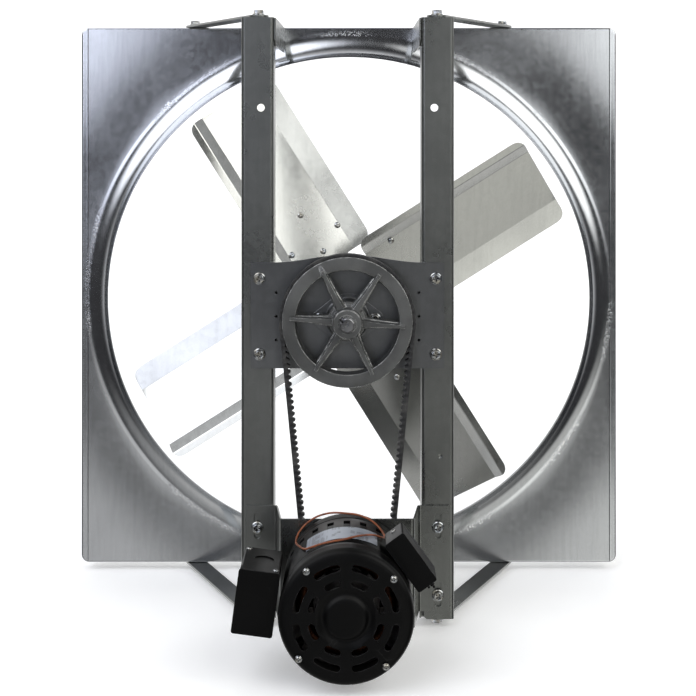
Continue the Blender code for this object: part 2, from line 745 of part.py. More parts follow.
def strap_bolt(side, level):
    name = f"strap_bolt_{'upper' if level > 0 else 'lower'}_{'left' if side < 0 else 'right'}"
    x, y = side * RAIL_X, STRAP_HEAD_Y
    seat = RAIL_HALF + GAP + STRAP_THICK + GAP

    def upright(radius, low, high, steps):
        return rod_along_z(radius, *sorted((level * low, level * high)), x, y, steps)

    obj = make(name, upright(SHANK_R, RAIL_HALF - 0.012, seat + BOLT_SKIRT, 10), "zinc_bolt")
    skirt = upright(BOLT_SKIRT_R, seat, seat + BOLT_SKIRT, 20)
    weld(obj, skirt, upright(BOLT_HEAD_R, seat + BOLT_SKIRT / 2, seat + BOLT_HEAD, 6))
    return obj


def motor_bracket(parent):
    """Hat-section bracket: slotted tabs on the rails, sloping walls and a web for the motor."""
    tab_at = RAIL_FRONT_AT + GAP + BRACKET_SHEET / 2
    web_at = WEB_AT - BRACKET_SHEET / 2
    half = [(TAB_OUTER_X, -tab_at), (WALL_FOOT_X + 0.002, -tab_at), (WALL_FOOT_X, -tab_at - 0.002),
            (WEB_HALF_X + 0.0002, -web_at + 0.002), (WEB_HALF_X - 0.002, -web_at)]
    line = half + [(-x, y) for x, y in reversed(half)]
    section = prism(folded(line, BRACKET_SHEET), "Z", BRACKET_BOTTOM, BRACKET_TOP)
    obj = make("motor_bracket", section, "dark_galvanized", parent)
    slots = []
    for side in (-1, 1):
        for z in MOUNT_BOLT_ZS:
            outline = stadium(side * MOUNT_BOLT_X, z - SLOT_BELOW, z + SLOT_ABOVE, SLOT_HALF_WIDTH, 5)
            slots.append(prism(outline, "Y", -0.235, -0.215))
    cut(obj, merged(slots + [rod(0.020, 0.27, 0.30, 0, MOTOR_Z, 24)] + tie_rods(TIE_BOLT_HOLE_R, 0.27, 0.30)))
    return obj


def tie_places():
    spots = []
    for degrees in TIE_BOLT_ANGLES:
        angle = math.radians(degrees)
        spots.append((TIE_BOLT_R * math.cos(angle), MOTOR_Z + TIE_BOLT_R * math.sin(angle)))
    return spots


def tie_rods(radius, near, far):
    return [rod(radius, near, far, x, z, 10) for x, z in tie_places()]


def arc_slot(radius, width, start, end, steps=2):
    """Outline of a curved vent in the motor's face, angles in degrees."""
    centre = (0, MOTOR_Z)
    outer = arc(centre, radius + width / 2, start, end, steps)
    return outer + arc(centre, radius - width / 2, end, start, steps)


def end_bell(name, face_at, inward, radius, parent, vents, closed):
    """Pressed cover: a dished disc with a rim, a bearing boss and curved vents."""
    depth = BELL_DEPTH
    wall = 0.002
    steps = 36
    bore = BEARING_HOUSING_R
    middle = [(0, 0)] if closed else [(bore, 0)]
    face = [(0.022, 0), (0.0245, 0.0012), (radius - 0.0115, 0.0012), (radius - 0.004, 0.0025),
            (radius, 0.0065), (radius, depth), (radius - wall, depth), (radius - wall, 0.0072),
            (radius - 0.0050, 0.0045), (radius - 0.0120, 0.0032), (0.0250, 0.0032), (0.0200, 0.0035),
            (0.0200, 0.0180), (bore, 0.0180)]
    # A closed boss hides the bearing; the other one lets the shaft out.
    end = [(bore, wall), (0, wall)] if closed else []
    profile = [(r, face_at + inward * at) for r, at in middle + face + end]
    obj = make(name, turned(profile, steps, (0, MOTOR_Z)), "black_paint", parent)
    through = sorted((-(face_at - inward * 0.01), -(face_at + inward * 0.0062)))
    holes = [prism(outline, "Y", *through) for outline in vents]
    cut(obj, merged(holes + tie_rods(TIE_BOLT_HOLE_R, face_at - 0.03, face_at + 0.03)))
    return obj


def front_vents():
    vents = []
    for k in range(8):
        middle = 22.5 + 45 * k
        vents.append(arc_slot(INNER_VENT_R, 0.0065, middle - 9, middle + 9))
        vents.append(arc_slot(OUTER_VENT_R, 0.0070, middle - 13, middle + 13))
    return vents


def rear_vents():
    return [arc_slot(0.0430, 0.0090, 45 * k - 13, 45 * k + 13) for k in range(8)]


def motor(parent):
    """Shell, end bells, stator with its winding, bearings and tie bolts."""
    rear_face = WEB_AT + GAP
    rear_rim = rear_face + BELL_DEPTH
    front_rim = MOTOR_FRONT_AT - BELL_DEPTH
    inner_r = SHELL_R - SHELL_WALL
    low, high = rear_rim + GAP, front_rim - GAP
    shell = [(SHELL_R, low), (SHELL_R, high), (inner_r, high), (inner_r, low)]
    make("motor_shell", turned(shell, 48, (0, MOTOR_Z)), "black_paint", parent)
    end_bell("motor_end_bell_front", MOTOR_FRONT_AT, -1, BELL_R, parent, front_vents(), True)
    end_bell("motor_end_bell_rear", rear_face, 1, BELL_R - 0.0015, parent, rear_vents(), False)
    stator(parent)
    sleeve_r = BEARING_HOUSING_R - GAP
    bore = MOTOR_SHAFT_R + GAP
    for name, near in (("rear", rear_face + 0.002), ("front", MOTOR_FRONT_AT - 0.0175)):
        far = near + 0.015
        sleeve = turned([(bore, near), (sleeve_r, near), (sleeve_r, far), (bore, far)], 20, (0, MOTOR_Z))
        make(f"motor_bearing_{name}", sleeve, "bearing_bronze", parent)
    for i, (x, z) in enumerate(tie_places()):
        tie_bolt(f"motor_tie_bolt_{i + 1}", x, z, parent)


def tie_bolt(name, x, z, parent):
    """Long bolt through the motor, with a round head in front and a nut behind the bracket."""
    nut_seat = WEB_AT - BRACKET_SHEET - GAP
    shank = rod(TIE_BOLT_SHANK_R, nut_seat - 0.0022, MOTOR_FRONT_AT + TIE_BOLT_HEAD / 2, x, z, 8)
    bolt = make(name, shank, "zinc_bolt", parent)
    head = rod(TIE_BOLT_HEAD_R, MOTOR_FRONT_AT - 0.0005, MOTOR_FRONT_AT + TIE_BOLT_HEAD, x, z, 12)
    nut = prism(circle(0.0048, 6, (x, z)), "Y", -nut_seat, -(nut_seat - 0.0032))
    weld(bolt, head, nut)


def stator(parent):
    """Laminated ring with open slots, and a winding whose sides lie in them."""
    outer_r, inner_r, slot_r = SHELL_R - SHELL_WALL - GAP, 0.036, 0.052
    outline = []
    for degrees in TIE_BOLT_ANGLES:
        outline += arc((0, MOTOR_Z), outer_r, degrees - 86, degrees - 4, 8)
        outline += arc((0, MOTOR_Z), TIE_BOLT_R - 0.0042, degrees - 3.5, degrees + 3.5, 1)
    opening = []
    for k in range(STATOR_SLOTS):
        middle = 60 * k
        opening += arc((0, MOTOR_Z), inner_r, middle - 53, middle - 7, 4)
        opening += arc((0, MOTOR_Z), slot_r, middle - 5, middle + 5, 1)
    make("motor_stator", plate(outline, [opening], CORE_NEAR, CORE_FAR), "lamination", parent)
    coil = [(0.0405, 0), (0.0385, 0.004), (0.040, 0.012), (0.048, 0.014), (0.0535, 0.010),
            (0.0535, 0.003), (0.050, 0)]
    ends = []
    for start, way in ((CORE_FAR + GAP, 1), (CORE_NEAR - GAP, -1)):
        ends.append(turned([(radius, start + way * at) for radius, at in coil], 24, (0, MOTOR_Z)))
    obj = make("motor_winding", ends[0], "copper_winding", parent)
    bars = []
    for k in range(STATOR_SLOTS):
        bar = box(0.041, 0.0495, CORE_NEAR - 0.002, CORE_FAR + 0.002, -0.0028, 0.0028)
        bmesh.ops.rotate(bar, verts=bar.verts, matrix=Matrix.Rotation(-math.tau * k / STATOR_SLOTS, 3, "Y"))
        bmesh.ops.translate(bar, verts=bar.verts, vec=(0, 0, MOTOR_Z))
        bars.append(bar)
    weld(obj, ends[1], *bars)


def motor_rotor(parent):
    near, far, chamfer = MOTOR_SHAFT_NEAR, MOTOR_FRONT_AT - 0.003, 0.0008
    shaft = [(0, near), (MOTOR_SHAFT_R - chamfer, near), (MOTOR_SHAFT_R, near + chamfer),
             (MOTOR_SHAFT_R, far), (0, far)]
    make("motor_shaft", turned(shaft, 20, (0, MOTOR_Z)), "ground_steel", parent)
    bore = MOTOR_SHAFT_R + GAP
    core = [(bore, CORE_NEAR - 0.006), (0.030, CORE_NEAR - 0.006), (0.030, CORE_NEAR), (0.0353, CORE_NEAR),
            (0.0353, CORE_FAR), (0.030, CORE_FAR), (0.030, CORE_FAR + 0.004), (bore, CORE_FAR + 0.004)]
    make("motor_rotor_core", turned(core, 32, (0, MOTOR_Z)), "lamination", parent)
    motor_pulley(parent)
    disc = [(bore, 0.398), (0.011, 0.398), (0.011, 0.4065), (0.034, 0.4065), (0.034, 0.408), (bore, 0.408)]
    fan = make("motor_cooling_fan", turned(disc, 32, (0, MOTOR_Z)), "lamination", parent)
    vanes = []
    for k in range(8):
        vane = box(0.016, 0.0335, 0.4075, 0.417, -0.0007, 0.0007)
        bmesh.ops.rotate(vane, verts=vane.verts, matrix=Matrix.Rotation(math.tau * k / 8, 3, "Y"))
        bmesh.ops.translate(vane, verts=vane.verts, vec=(0, 0, MOTOR_Z))
        vanes.append(vane)
    weld(fan, *vanes)


def leaned(bm):
    """Turns a junction box shape built upright about its own middle to its lean on the motor."""
    middle = Vector((JUNCTION_MIDDLE[0], 0, JUNCTION_MIDDLE[1]))
    bmesh.ops.rotate(bm, verts=bm.verts, cent=middle, matrix=Matrix.Rotation(JUNCTION_LEAN, 3, "Y"))
    return bm


def junction_box(parent):
    """Sheet box open to the drive side, with a knockout in its top, and its cover."""
    (x, z), (width, tall) = JUNCTION_MIDDLE, JUNCTION_SIZE
    sides = (x - width / 2, x + width / 2)
    levels = (z - tall / 2, z + tall / 2)
    shell = prism(rounded_rectangle(*sides, *levels, 0.002, 2), "Y", -JUNCTION_FAR, -JUNCTION_NEAR)
    obj = make("junction_box", leaned(shell), "black_paint", parent)
    inside = box(sides[0] + BOX_WALL, sides[1] - BOX_WALL, JUNCTION_NEAR + BOX_WALL, JUNCTION_FAR + 0.01,
                 levels[0] + BOX_WALL, levels[1] - BOX_WALL)
    knockout = rod_along_z(KNOCKOUT_R, levels[1] - 0.01, levels[1] + 0.01, x + 0.002, KNOCKOUT_Y, 20)
    cut(obj, leaned(inside), leaned(knockout))
    lip = 0.0008
    lid = rounded_rectangle(sides[0] - lip, sides[1] + lip, levels[0] - lip, levels[1] + lip, 0.002, 2)
    cover = prism(lid, "Y", -(JUNCTION_FAR + GAP + BOX_WALL), -(JUNCTION_FAR + GAP))
    make("junction_box_cover", leaned(cover), "black_paint", parent)


def on_motor(bm, angle):
    """Moves a shape built beside the fan axis along +X out to its angle on the motor."""
    bmesh.ops.rotate(bm, verts=bm.verts, matrix=Matrix.Rotation(-angle, 3, "Y"))
    bmesh.ops.translate(bm, verts=bm.verts, vec=(0, 0, MOTOR_Z))
    return bm


def capacitor_box(parent):
    """Cover with rounded edges, open towards the motor, over a round capacitor."""
    inner, outer = CAPACITOR_RADIAL
    half = CAPACITOR_HALF_LENGTH
    outline = rounded_rectangle(inner, outer, -half, half, 0.0025, 2)
    shell = prism(outline, "Y", -CAPACITOR_FAR, -CAPACITOR_NEAR)
    obj = make("capacitor_cover", on_motor(shell, CAPACITOR_TURN), "black_paint", parent)
    inside = box(inner - 0.01, outer - BOX_WALL, CAPACITOR_NEAR + BOX_WALL, CAPACITOR_FAR - BOX_WALL,
                 -half + BOX_WALL, half - BOX_WALL)
    cut(obj, on_motor(inside, CAPACITOR_TURN))
    can = prism(circle(CAPACITOR_R, 20, (0.0835, -0.3925)), "Z", -0.024, 0.026)
    make("motor_capacitor", on_motor(can, CAPACITOR_TURN), "ground_steel", parent)


def nameplate(parent):
    """Thin curved label on the upper side of the motor shell."""
    radius = SHELL_R + GAP
    start, end = LABEL_ANGLES
    outline = arc((0, MOTOR_Z), radius + LABEL_THICK, start, end, 16)
    outline += arc((0, MOTOR_Z), radius, end, start, 16)
    make("motor_nameplate", prism(outline, "Y", -LABEL_FAR, -LABEL_NEAR), "label", parent)


def motor_lead(parent):
    """Insulated lead lying as a loop on top of the motor, between the rear rim and the label."""
    path = []
    for x_mm, at_mm in LEAD_SPOTS:
        x = x_mm / 1000
        path.append(Vector((x, -at_mm / 1000, MOTOR_Z + math.sqrt(LEAD_PATH_R**2 - x**2))))
    bm = bmesh.new()
    rings = []
    for i, point in enumerate(path):
        along = (path[(i + 1) % len(path)] - path[i - 1]).normalized()
        outward = (point - Vector((0, point.y, MOTOR_Z))).normalized()
        across = along.cross(outward).normalized()
        section = circle(LEAD_R, 6)
        rings.append([bm.verts.new(point + outward * b + across * a) for a, b in section])
    for i, ring in enumerate(rings):
        join_rings(bm, rings[i - 1], ring)
    make("motor_lead", bm, "orange_lead", parent)


def build_frame():
    orifice_panel()
    for side in (-1, 1):
        rail(side)
        for level in (-1, 1):
            strap(side, level)
            standoff(side, level)
            strap_bolt(side, level)
    bearing_plate("bearing_plate_front", RAIL_FRONT_AT + GAP, (PLATE_BOTTOM, PLATE_TOP), PLATE_HUMP)
    rear_far = RAIL_FRONT_AT - RAIL_DEPTH - GAP
    bearing_plate("bearing_plate_rear", rear_far - PLATE_THICK, (-REAR_PLATE_HALF_Z, REAR_PLATE_HALF_Z), 0)
    front_face = RAIL_FRONT_AT + PLATE_THICK + 2 * GAP
    bearing_housing("bearing_housing_front", front_face, 1)
    bearing_housing("bearing_housing_rear", rear_far - PLATE_THICK - GAP, -1)
    seat = RAIL_FRONT_AT + PLATE_THICK + 2 * GAP
    places = [(side * PLATE_BOLT_X, z) for z in PLATE_BOLT_ZS for side in (-1, 1)]
    for i, (x, z) in enumerate(places):
        hex_bolt(f"plate_bolt_{i + 1}", x, z, seat, RAIL_FRONT_AT - 0.010)
    seat = RAIL_FRONT_AT + BRACKET_SHEET + 2 * GAP
    places = [(side * MOUNT_BOLT_X, z) for z in MOUNT_BOLT_ZS for side in (-1, 1)]
    for i, (x, z) in enumerate(places):
        hex_bolt(f"motor_mount_bolt_{i + 1}", x, z, seat, RAIL_FRONT_AT - 0.010)
    drive_belt()


def build_fan(axis):
    fan_shaft(axis)
    fan_pulley(axis)
    pulley_key(axis)
    front = RAIL_FRONT_AT + PLATE_THICK + 2 * GAP
    rear = RAIL_FRONT_AT - RAIL_DEPTH - PLATE_THICK - 2 * GAP
    collar = (front + 0.014, front + 0.0175)
    bearing_insert("bearing_insert_front", front + 0.001, front + 0.013, collar, axis)
    collar = (rear - 0.026, rear - 0.014)
    bearing_insert("bearing_insert_rear", rear - 0.013, rear - 0.001, collar, axis)
    blade_hub(axis)
    for index in range(BLADES):
        blade(index, axis)


def build_motor(mount, axis):
    motor_bracket(mount)
    motor(mount)
    junction_box(mount)
    capacitor_box(mount)
    nameplate(mount)
    motor_lead(mount)
    motor_rotor(axis)


def move_to_origin():
    """Moves the finished fan, with its pivots, so that the origin is the middle of its box."""
    for obj in bpy.context.scene.objects:
        if obj.parent is None:
            obj.location.y += ORIGIN_AT


def main():
    clear_scene()
    fan_axis = pivot("fan_axis", (0, 0, 0))
    motor_mount = pivot("motor_mount", (0, 0, MOTOR_Z))
    motor_axis = pivot("motor_axis", (0, 0, 0), motor_mount)
    build_frame()
    build_fan(fan_axis)
    build_motor(motor_mount, motor_axis)
    move_to_origin()


main()
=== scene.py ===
"""Studio scene of the belt-drive exhaust fan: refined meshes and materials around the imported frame.

Metres, +Z up. The drive side faces -Y. Shapes are drawn with the front face of the orifice
panel at y = 0, so that a distance at, from that face towards the drive side, is y = -at.
They move to the frame's own place as they become pieces.
"""

import json
import math
import random

import bmesh
import bpy
from mathutils import Matrix, Vector


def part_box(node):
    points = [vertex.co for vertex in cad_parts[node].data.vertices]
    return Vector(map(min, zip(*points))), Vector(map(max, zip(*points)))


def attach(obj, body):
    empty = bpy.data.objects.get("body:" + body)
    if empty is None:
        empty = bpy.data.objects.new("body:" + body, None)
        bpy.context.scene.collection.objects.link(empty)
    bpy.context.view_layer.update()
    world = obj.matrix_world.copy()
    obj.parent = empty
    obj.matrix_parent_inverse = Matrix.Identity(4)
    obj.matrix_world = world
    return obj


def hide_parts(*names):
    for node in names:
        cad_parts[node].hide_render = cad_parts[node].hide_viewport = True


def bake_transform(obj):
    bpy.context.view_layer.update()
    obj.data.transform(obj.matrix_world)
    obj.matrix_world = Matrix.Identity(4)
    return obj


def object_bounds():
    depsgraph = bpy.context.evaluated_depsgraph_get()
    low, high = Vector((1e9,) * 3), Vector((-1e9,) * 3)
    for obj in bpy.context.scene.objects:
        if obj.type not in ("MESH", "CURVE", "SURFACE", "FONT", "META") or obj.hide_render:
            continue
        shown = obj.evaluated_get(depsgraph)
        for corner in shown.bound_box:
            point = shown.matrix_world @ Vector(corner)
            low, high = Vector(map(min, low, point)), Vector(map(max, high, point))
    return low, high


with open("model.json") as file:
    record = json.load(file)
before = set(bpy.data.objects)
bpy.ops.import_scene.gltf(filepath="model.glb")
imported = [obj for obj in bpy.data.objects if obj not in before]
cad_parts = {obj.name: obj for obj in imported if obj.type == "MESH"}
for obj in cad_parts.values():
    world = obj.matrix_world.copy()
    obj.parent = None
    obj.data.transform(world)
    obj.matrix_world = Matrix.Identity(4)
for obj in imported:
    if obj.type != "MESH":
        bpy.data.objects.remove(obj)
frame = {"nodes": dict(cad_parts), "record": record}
CAD_LOW, CAD_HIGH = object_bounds()

PANEL_FLANGE = 0.025
# Where the panel's front face stands in the frame. Shapes are drawn with it at y = 0.
FACE_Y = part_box("orifice_panel")[1].y - PANEL_FLANGE

BELT_AT = 0.253
SHEAVE_FACE = 0.0096
MOTOR_Z = -0.278
BLADE_TURN = math.radians(32.2)
FAN_BELT_R = 0.078
MOTOR_BELT_R = 0.051
SHAFT_R = 0.0079
KEY_TURN = math.radians(45)
BOLT_R = 0.0031
BOLT_HOLE_R = 0.0036
GAP = 0.0003


# ---------------------------------------------------------------- geometry helpers


def arc(centre, radius, start, end, steps):
    points = []
    for i in range(steps + 1):
        angle = math.radians(start + (end - start) * i / steps)
        points.append((centre[0] + radius * math.cos(angle), centre[1] + radius * math.sin(angle)))
    return points


def circle(radius, steps, centre=(0, 0), turn=0):
    return arc(centre, radius, turn, turn + 360, steps)[:-1]


def rounded(points, radii, steps, closed=False):
    """A line through the points with its corners rounded."""
    result = []
    count = len(points)
    for i, point in enumerate(points):
        radius = radii[i] if isinstance(radii, (list, tuple)) else radii
        if radius <= 0 or (not closed and i in (0, count - 1)):
            result.append(tuple(point))
            continue
        here = Vector(point)
        before = Vector(points[i - 1]) - here
        after = Vector(points[(i + 1) % count]) - here
        half = before.angle(after) / 2
        cut = min(radius / math.tan(half), before.length * 0.48, after.length * 0.48)
        start = here + before.normalized() * cut
        end = here + after.normalized() * cut
        for k in range(steps + 1):
            t = k / steps
            # A quadratic curve is close enough to an arc at these small radii.
            spot = start * (1 - t) ** 2 + here * (2 * t * (1 - t)) + end * t**2
            result.append(tuple(spot))
    return result


def rounded_rectangle(x0, x1, z0, z1, radius, steps):
    return rounded([(x1, z1), (x0, z1), (x0, z0), (x1, z0)], radius, steps, closed=True)


def folded(line, thickness):
    """Closed section of a bent sheet: its centre line with half the thickness on each side."""

    def side(sign):
        points = []
        for i, point in enumerate(line):
            here = Vector(point)
            before = (here - Vector(line[i - 1])).normalized() if i else None
            after = (Vector(line[i + 1]) - here).normalized() if i + 1 < len(line) else None
            before = before or after
            after = after or before
            normal = Vector((-before.y - after.y, before.x + after.x)).normalized()
            spread = normal.dot(Vector((-before.y, before.x)))
            points.append(tuple(here + normal * (sign * thickness / 2 / spread)))
        return points

    return side(1) + side(-1)[::-1]


def join_rings(bm, first, second):
    if len(first) == 1 and len(second) == 1:
        return
    count = max(len(first), len(second))
    for i in range(count):
        corners = []
        for ring, index in ((first, i - 1), (first, i), (second, i), (second, i - 1)):
            corner = ring[0] if len(ring) == 1 else ring[index]
            if corner not in corners:
                corners.append(corner)
        bm.faces.new(corners)


def skin(rings, closed=True):
    """A surface through rings of points. Closed joins the last ring to the first."""
    bm = bmesh.new()
    made = [[bm.verts.new(point) for point in ring] for ring in rings]
    for i in range(0 if closed else 1, len(made)):
        join_rings(bm, made[i - 1], made[i])
    return bm


def capped(rings):
    """A closed shape through rings of points, with a flat face at each end."""
    bm = skin(rings, closed=False)
    bm.verts.ensure_lookup_table()
    bm.faces.new(bm.verts[: len(rings[0])])
    bm.faces.new(bm.verts[-len(rings[-1]) :])
    return bm


def turned(profile, steps, centre=(0, 0)):
    """A closed profile of (radius, at) points spun round an axis along Y."""
    rings = []
    for radius, at in profile:
        if radius < 1e-6:
            rings.append([(centre[0], -at, centre[1])])
        else:
            rings.append([(x, -at, z) for x, z in circle(radius, steps, centre)])
    return skin(rings)


def turned_up(profile, steps, centre):
    """A closed profile of (radius, height) points spun round an upright axis."""
    rings = []
    for radius, height in profile:
        if radius < 1e-6:
            rings.append([(centre[0], centre[1], height)])
        else:
            rings.append([(x, y, height) for x, y in circle(radius, steps, centre)])
    return skin(rings)


def prism(section, axis, low, high, cuts=1):
    """A closed section extruded along one axis, in as many lengths as asked."""
    bm = bmesh.new()
    rings = []
    for k in range(cuts + 1):
        level = low + (high - low) * k / cuts
        ring = []
        for a, b in section:
            point = [a, b]
            point.insert("XYZ".index(axis), level)
            ring.append(bm.verts.new(point))
        rings.append(ring)
    for first, second in zip(rings, rings[1:]):
        join_rings(bm, first, second)
    for ring in (rings[0], rings[-1]):
        bm.faces.new(ring)
    return bm


def box(x0, x1, near, far, z0, z1):
    return prism([(x0, z0), (x1, z0), (x1, z1), (x0, z1)], "Y", -far, -near)


def rod(radius, near, far, x=0, z=0, steps=24):
    return turned([(0, near), (radius, near), (radius, far), (0, far)], steps, (x, z))


def rod_up(radius, low, high, x, y, steps=24):
    return prism(circle(radius, steps, (x, y)), "Z", low, high)


def stadium(centre_x, low, high, half_width, steps):
    return arc((centre_x, high - half_width), half_width, 0, 180, steps) + arc(
        (centre_x, low + half_width), half_width, 180, 360, steps
    )


def spun(bm, angle, centre=(0, 0)):
    """Turns a shape about an axis along Y, anticlockwise seen from the drive side."""
    middle = Vector((centre[0], 0, centre[1]))
    bmesh.ops.rotate(bm, verts=bm.verts, cent=middle, matrix=Matrix.Rotation(-angle, 3, "Y"))
    return bm


def shifted(bm, x=0, y=0, z=0):
    bmesh.ops.translate(bm, verts=bm.verts, vec=(x, y, z))
    return bm


def merged(shapes):
    target = bmesh.new()
    for other in shapes:
        mesh = bpy.data.meshes.new("scratch")
        other.to_mesh(mesh)
        other.free()
        target.from_mesh(mesh)
        bpy.data.meshes.remove(mesh)
    return target


def piece(name, bm, look, body, replaces=(), smooth=32):
    """A finished piece: mesh, material, body it rides on and the nodes it stands for."""
    obj = solid(name, bm, smooth)
    obj.data.materials.append(look)
    if body:
        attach(obj, body)
    if replaces:
        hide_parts(*replaces)
    return obj


def solid(name, bm, smooth=32):
    """An object from a shape, moved to the frame's place."""
    bmesh.ops.recalc_face_normals(bm, faces=bm.faces)
    shifted(bm, y=FACE_Y)
    mesh = bpy.data.meshes.new(name)
    bm.to_mesh(mesh)
    bm.free()
    obj = bpy.data.objects.new(name, mesh)
    bpy.context.scene.collection.objects.link(obj)
    shade(obj, smooth)
    return obj


def shade(obj, smooth):
    obj.data.shade_smooth()
    obj.data.set_sharp_from_angle(angle=math.radians(smooth))


def settle(obj, smooth=None):
    """Applies an object's modifiers to its mesh, and marks its sharp edges again if asked."""
    bpy.context.view_layer.update()
    graph = bpy.context.evaluated_depsgraph_get()
    solid = bpy.data.meshes.new_from_object(obj.evaluated_get(graph))
    obj.modifiers.clear()
    old = obj.data
    obj.data = solid
    bpy.data.meshes.remove(old)
    if smooth is not None:
        shade(obj, smooth)


def boolean(obj, shapes, operation, smooth):
    tools = [solid("tool", shape) for shape in shapes]
    for tool in tools:
        modifier = obj.modifiers.new("boolean", "BOOLEAN")
        modifier.object = tool
        modifier.operation = operation
        modifier.solver = "EXACT"
    settle(obj, smooth)
    for tool in tools:
        discard(tool)


def discard(obj):
    mesh = obj.data
    bpy.data.objects.remove(obj, do_unlink=True)
    bpy.data.meshes.remove(mesh)


def cut(obj, shapes, smooth=32):
    boolean(obj, [merged(shapes)], "DIFFERENCE", smooth)


def weld(obj, shapes, smooth=32):
    boolean(obj, shapes, "UNION", smooth)


def soften(obj, width, segments, angle, smooth=40):
    """Rounds the edges of a sheet or a machined piece."""
    modifier = obj.modifiers.new("edges", "BEVEL")
    modifier.width = width
    modifier.segments = segments
    modifier.limit_method = "ANGLE"
    modifier.angle_limit = math.radians(angle)
    modifier.use_clamp_overlap = True
    settle(obj, smooth)
    flatten(obj)


def flatten(obj):
    """Weights the normals by face area, so that flat faces beside a small round look flat."""
    modifier = obj.modifiers.new("normals", "WEIGHTED_NORMAL")
    modifier.keep_sharp = True
    modifier.weight = 100
    settle(obj)


# ---------------------------------------------------------------- material helpers


def node(tree, kind, inputs=None, **settings):
    made = tree.nodes.new("ShaderNode" + kind)
    for key, value in settings.items():
        setattr(made, key, value)
    for socket, value in (inputs or {}).items():
        if isinstance(value, bpy.types.NodeSocket):
            tree.links.new(value, made.inputs[socket])
        else:
            made.inputs[socket].default_value = value
    return made


def noise(tree, where, scale, detail=3.0, stretch=None):
    if stretch:
        where = node(tree, "Mapping", {"Vector": where, "Scale": stretch}).outputs[0]
    inputs = {"Vector": where, "Scale": scale, "Detail": detail}
    return node(tree, "TexNoise", inputs).outputs[0]


def between(tree, value, low, high, start=0.0, end=1.0):
    """Maps low…high of a value onto start…end, smoothly."""
    inputs = {"Value": value, "From Min": low, "From Max": high, "To Min": start, "To Max": end}
    return node(tree, "MapRange", inputs, interpolation_type="SMOOTHSTEP").outputs[0]


def maths(tree, operation, first, second=0.0):
    return node(tree, "Math", {0: first, 1: second}, operation=operation).outputs[0]


def blended(tree, share, first, second):
    inputs = {"Factor": share, 6: colour(first), 7: colour(second)}
    return node(tree, "Mix", inputs, data_type="RGBA").outputs[2]


def colour(value):
    if isinstance(value, (tuple, list)):
        return (*value, 1.0)[:4]
    return value


def scaled(tone, factor):
    return tuple(channel * factor for channel in tone)


def new_look(name):
    look = bpy.data.materials.new(name)
    look.use_nodes = True
    tree = look.node_tree
    tree.nodes.clear()
    shader = node(tree, "BsdfPrincipled")
    output = node(tree, "OutputMaterial", {"Surface": shader.outputs[0]})
    output.location = (300, 0)
    where = node(tree, "TexCoord").outputs["Object"]
    return look, tree, shader, where


def feed(tree, shader, **inputs):
    for name, value in inputs.items():
        socket = shader.inputs[name.replace("_", " ")]
        if isinstance(value, bpy.types.NodeSocket):
            tree.links.new(value, socket)
        else:
            socket.default_value = colour(value)


def bump(tree, height, distance, strength, under=None):
    inputs = {"Height": height, "Distance": distance, "Strength": strength}
    if under is not None:
        inputs["Normal"] = under
    return node(tree, "Bump", inputs).outputs[0]


def edge_wear(tree, where, radius, scale):
    """1 on worn outer edges: where a rounded normal leaves the true one, broken up by noise."""
    soft = node(tree, "Bevel", {"Radius": radius}, samples=4).outputs[0]
    true = node(tree, "NewGeometry").outputs["Normal"]
    turn = node(tree, "VectorMath", {0: soft, 1: true}, operation="DOT_PRODUCT").outputs["Value"]
    edge = between(tree, turn, 0.985, 0.9)
    return maths(tree, "MULTIPLY", edge, between(tree, noise(tree, where, scale), 0.38, 0.6))


STAIN = (0.32, 0.31, 0.29)


def zinc_sheet(name, tone, rough, grime, marks=None):
    """Galvanized sheet: crystal spangle, rolling marks, dull stains and settled dust."""
    look, tree, shader, where = new_look(name)
    flat = node(tree, "Mapping", {"Vector": where, "Scale": (1, 0.4, 1)}).outputs[0]
    cells = node(tree, "TexVoronoi", {"Vector": flat, "Scale": 160, "Randomness": 1.0})
    grain = node(tree, "SeparateColor", {"Color": cells.outputs["Color"]}).outputs[0]
    rolled = noise(tree, where, 30, 3, (6, 1, 0.6))
    cloud = noise(tree, where, 4.5, 5)
    fine = noise(tree, where, 600, 2)
    tint = blended(tree, grain, scaled(tone, 0.97), scaled(tone, 1.02))
    tint = blended(tree, between(tree, rolled, 0.4, 0.7, 0, 0.3), tint, scaled(tone, 0.86))
    tint = blended(tree, between(tree, fine, 0.45, 0.8, 0, 0.3), tint, scaled(tone, 0.8))
    dirt = maths(tree, "MULTIPLY", between(tree, cloud, 0.5, 0.75), grime)
    tint = blended(tree, dirt, tint, STAIN)
    gloss = between(tree, cloud, 0.3, 0.75, rough - 0.03, rough + 0.06)
    gloss = maths(tree, "ADD", gloss, maths(tree, "MULTIPLY", grain, 0.025))
    gloss = maths(tree, "ADD", gloss, maths(tree, "MULTIPLY", dirt, 0.3))
    surface = bump(tree, fine, 0.00002, 0.08)
    surface = bump(tree, rolled, 0.00008, 0.14, surface)
    surface = bump(tree, noise(tree, where, 5, 1), 0.0012, 0.5, surface)
    if marks:
        tint, surface = marks(tree, where, tint, surface)
    feed(tree, shader, Base_Color=tint, Metallic=maths(tree, "SUBTRACT", 1.0, dirt))
    feed(tree, shader, Roughness=gloss, Normal=surface)
    return look


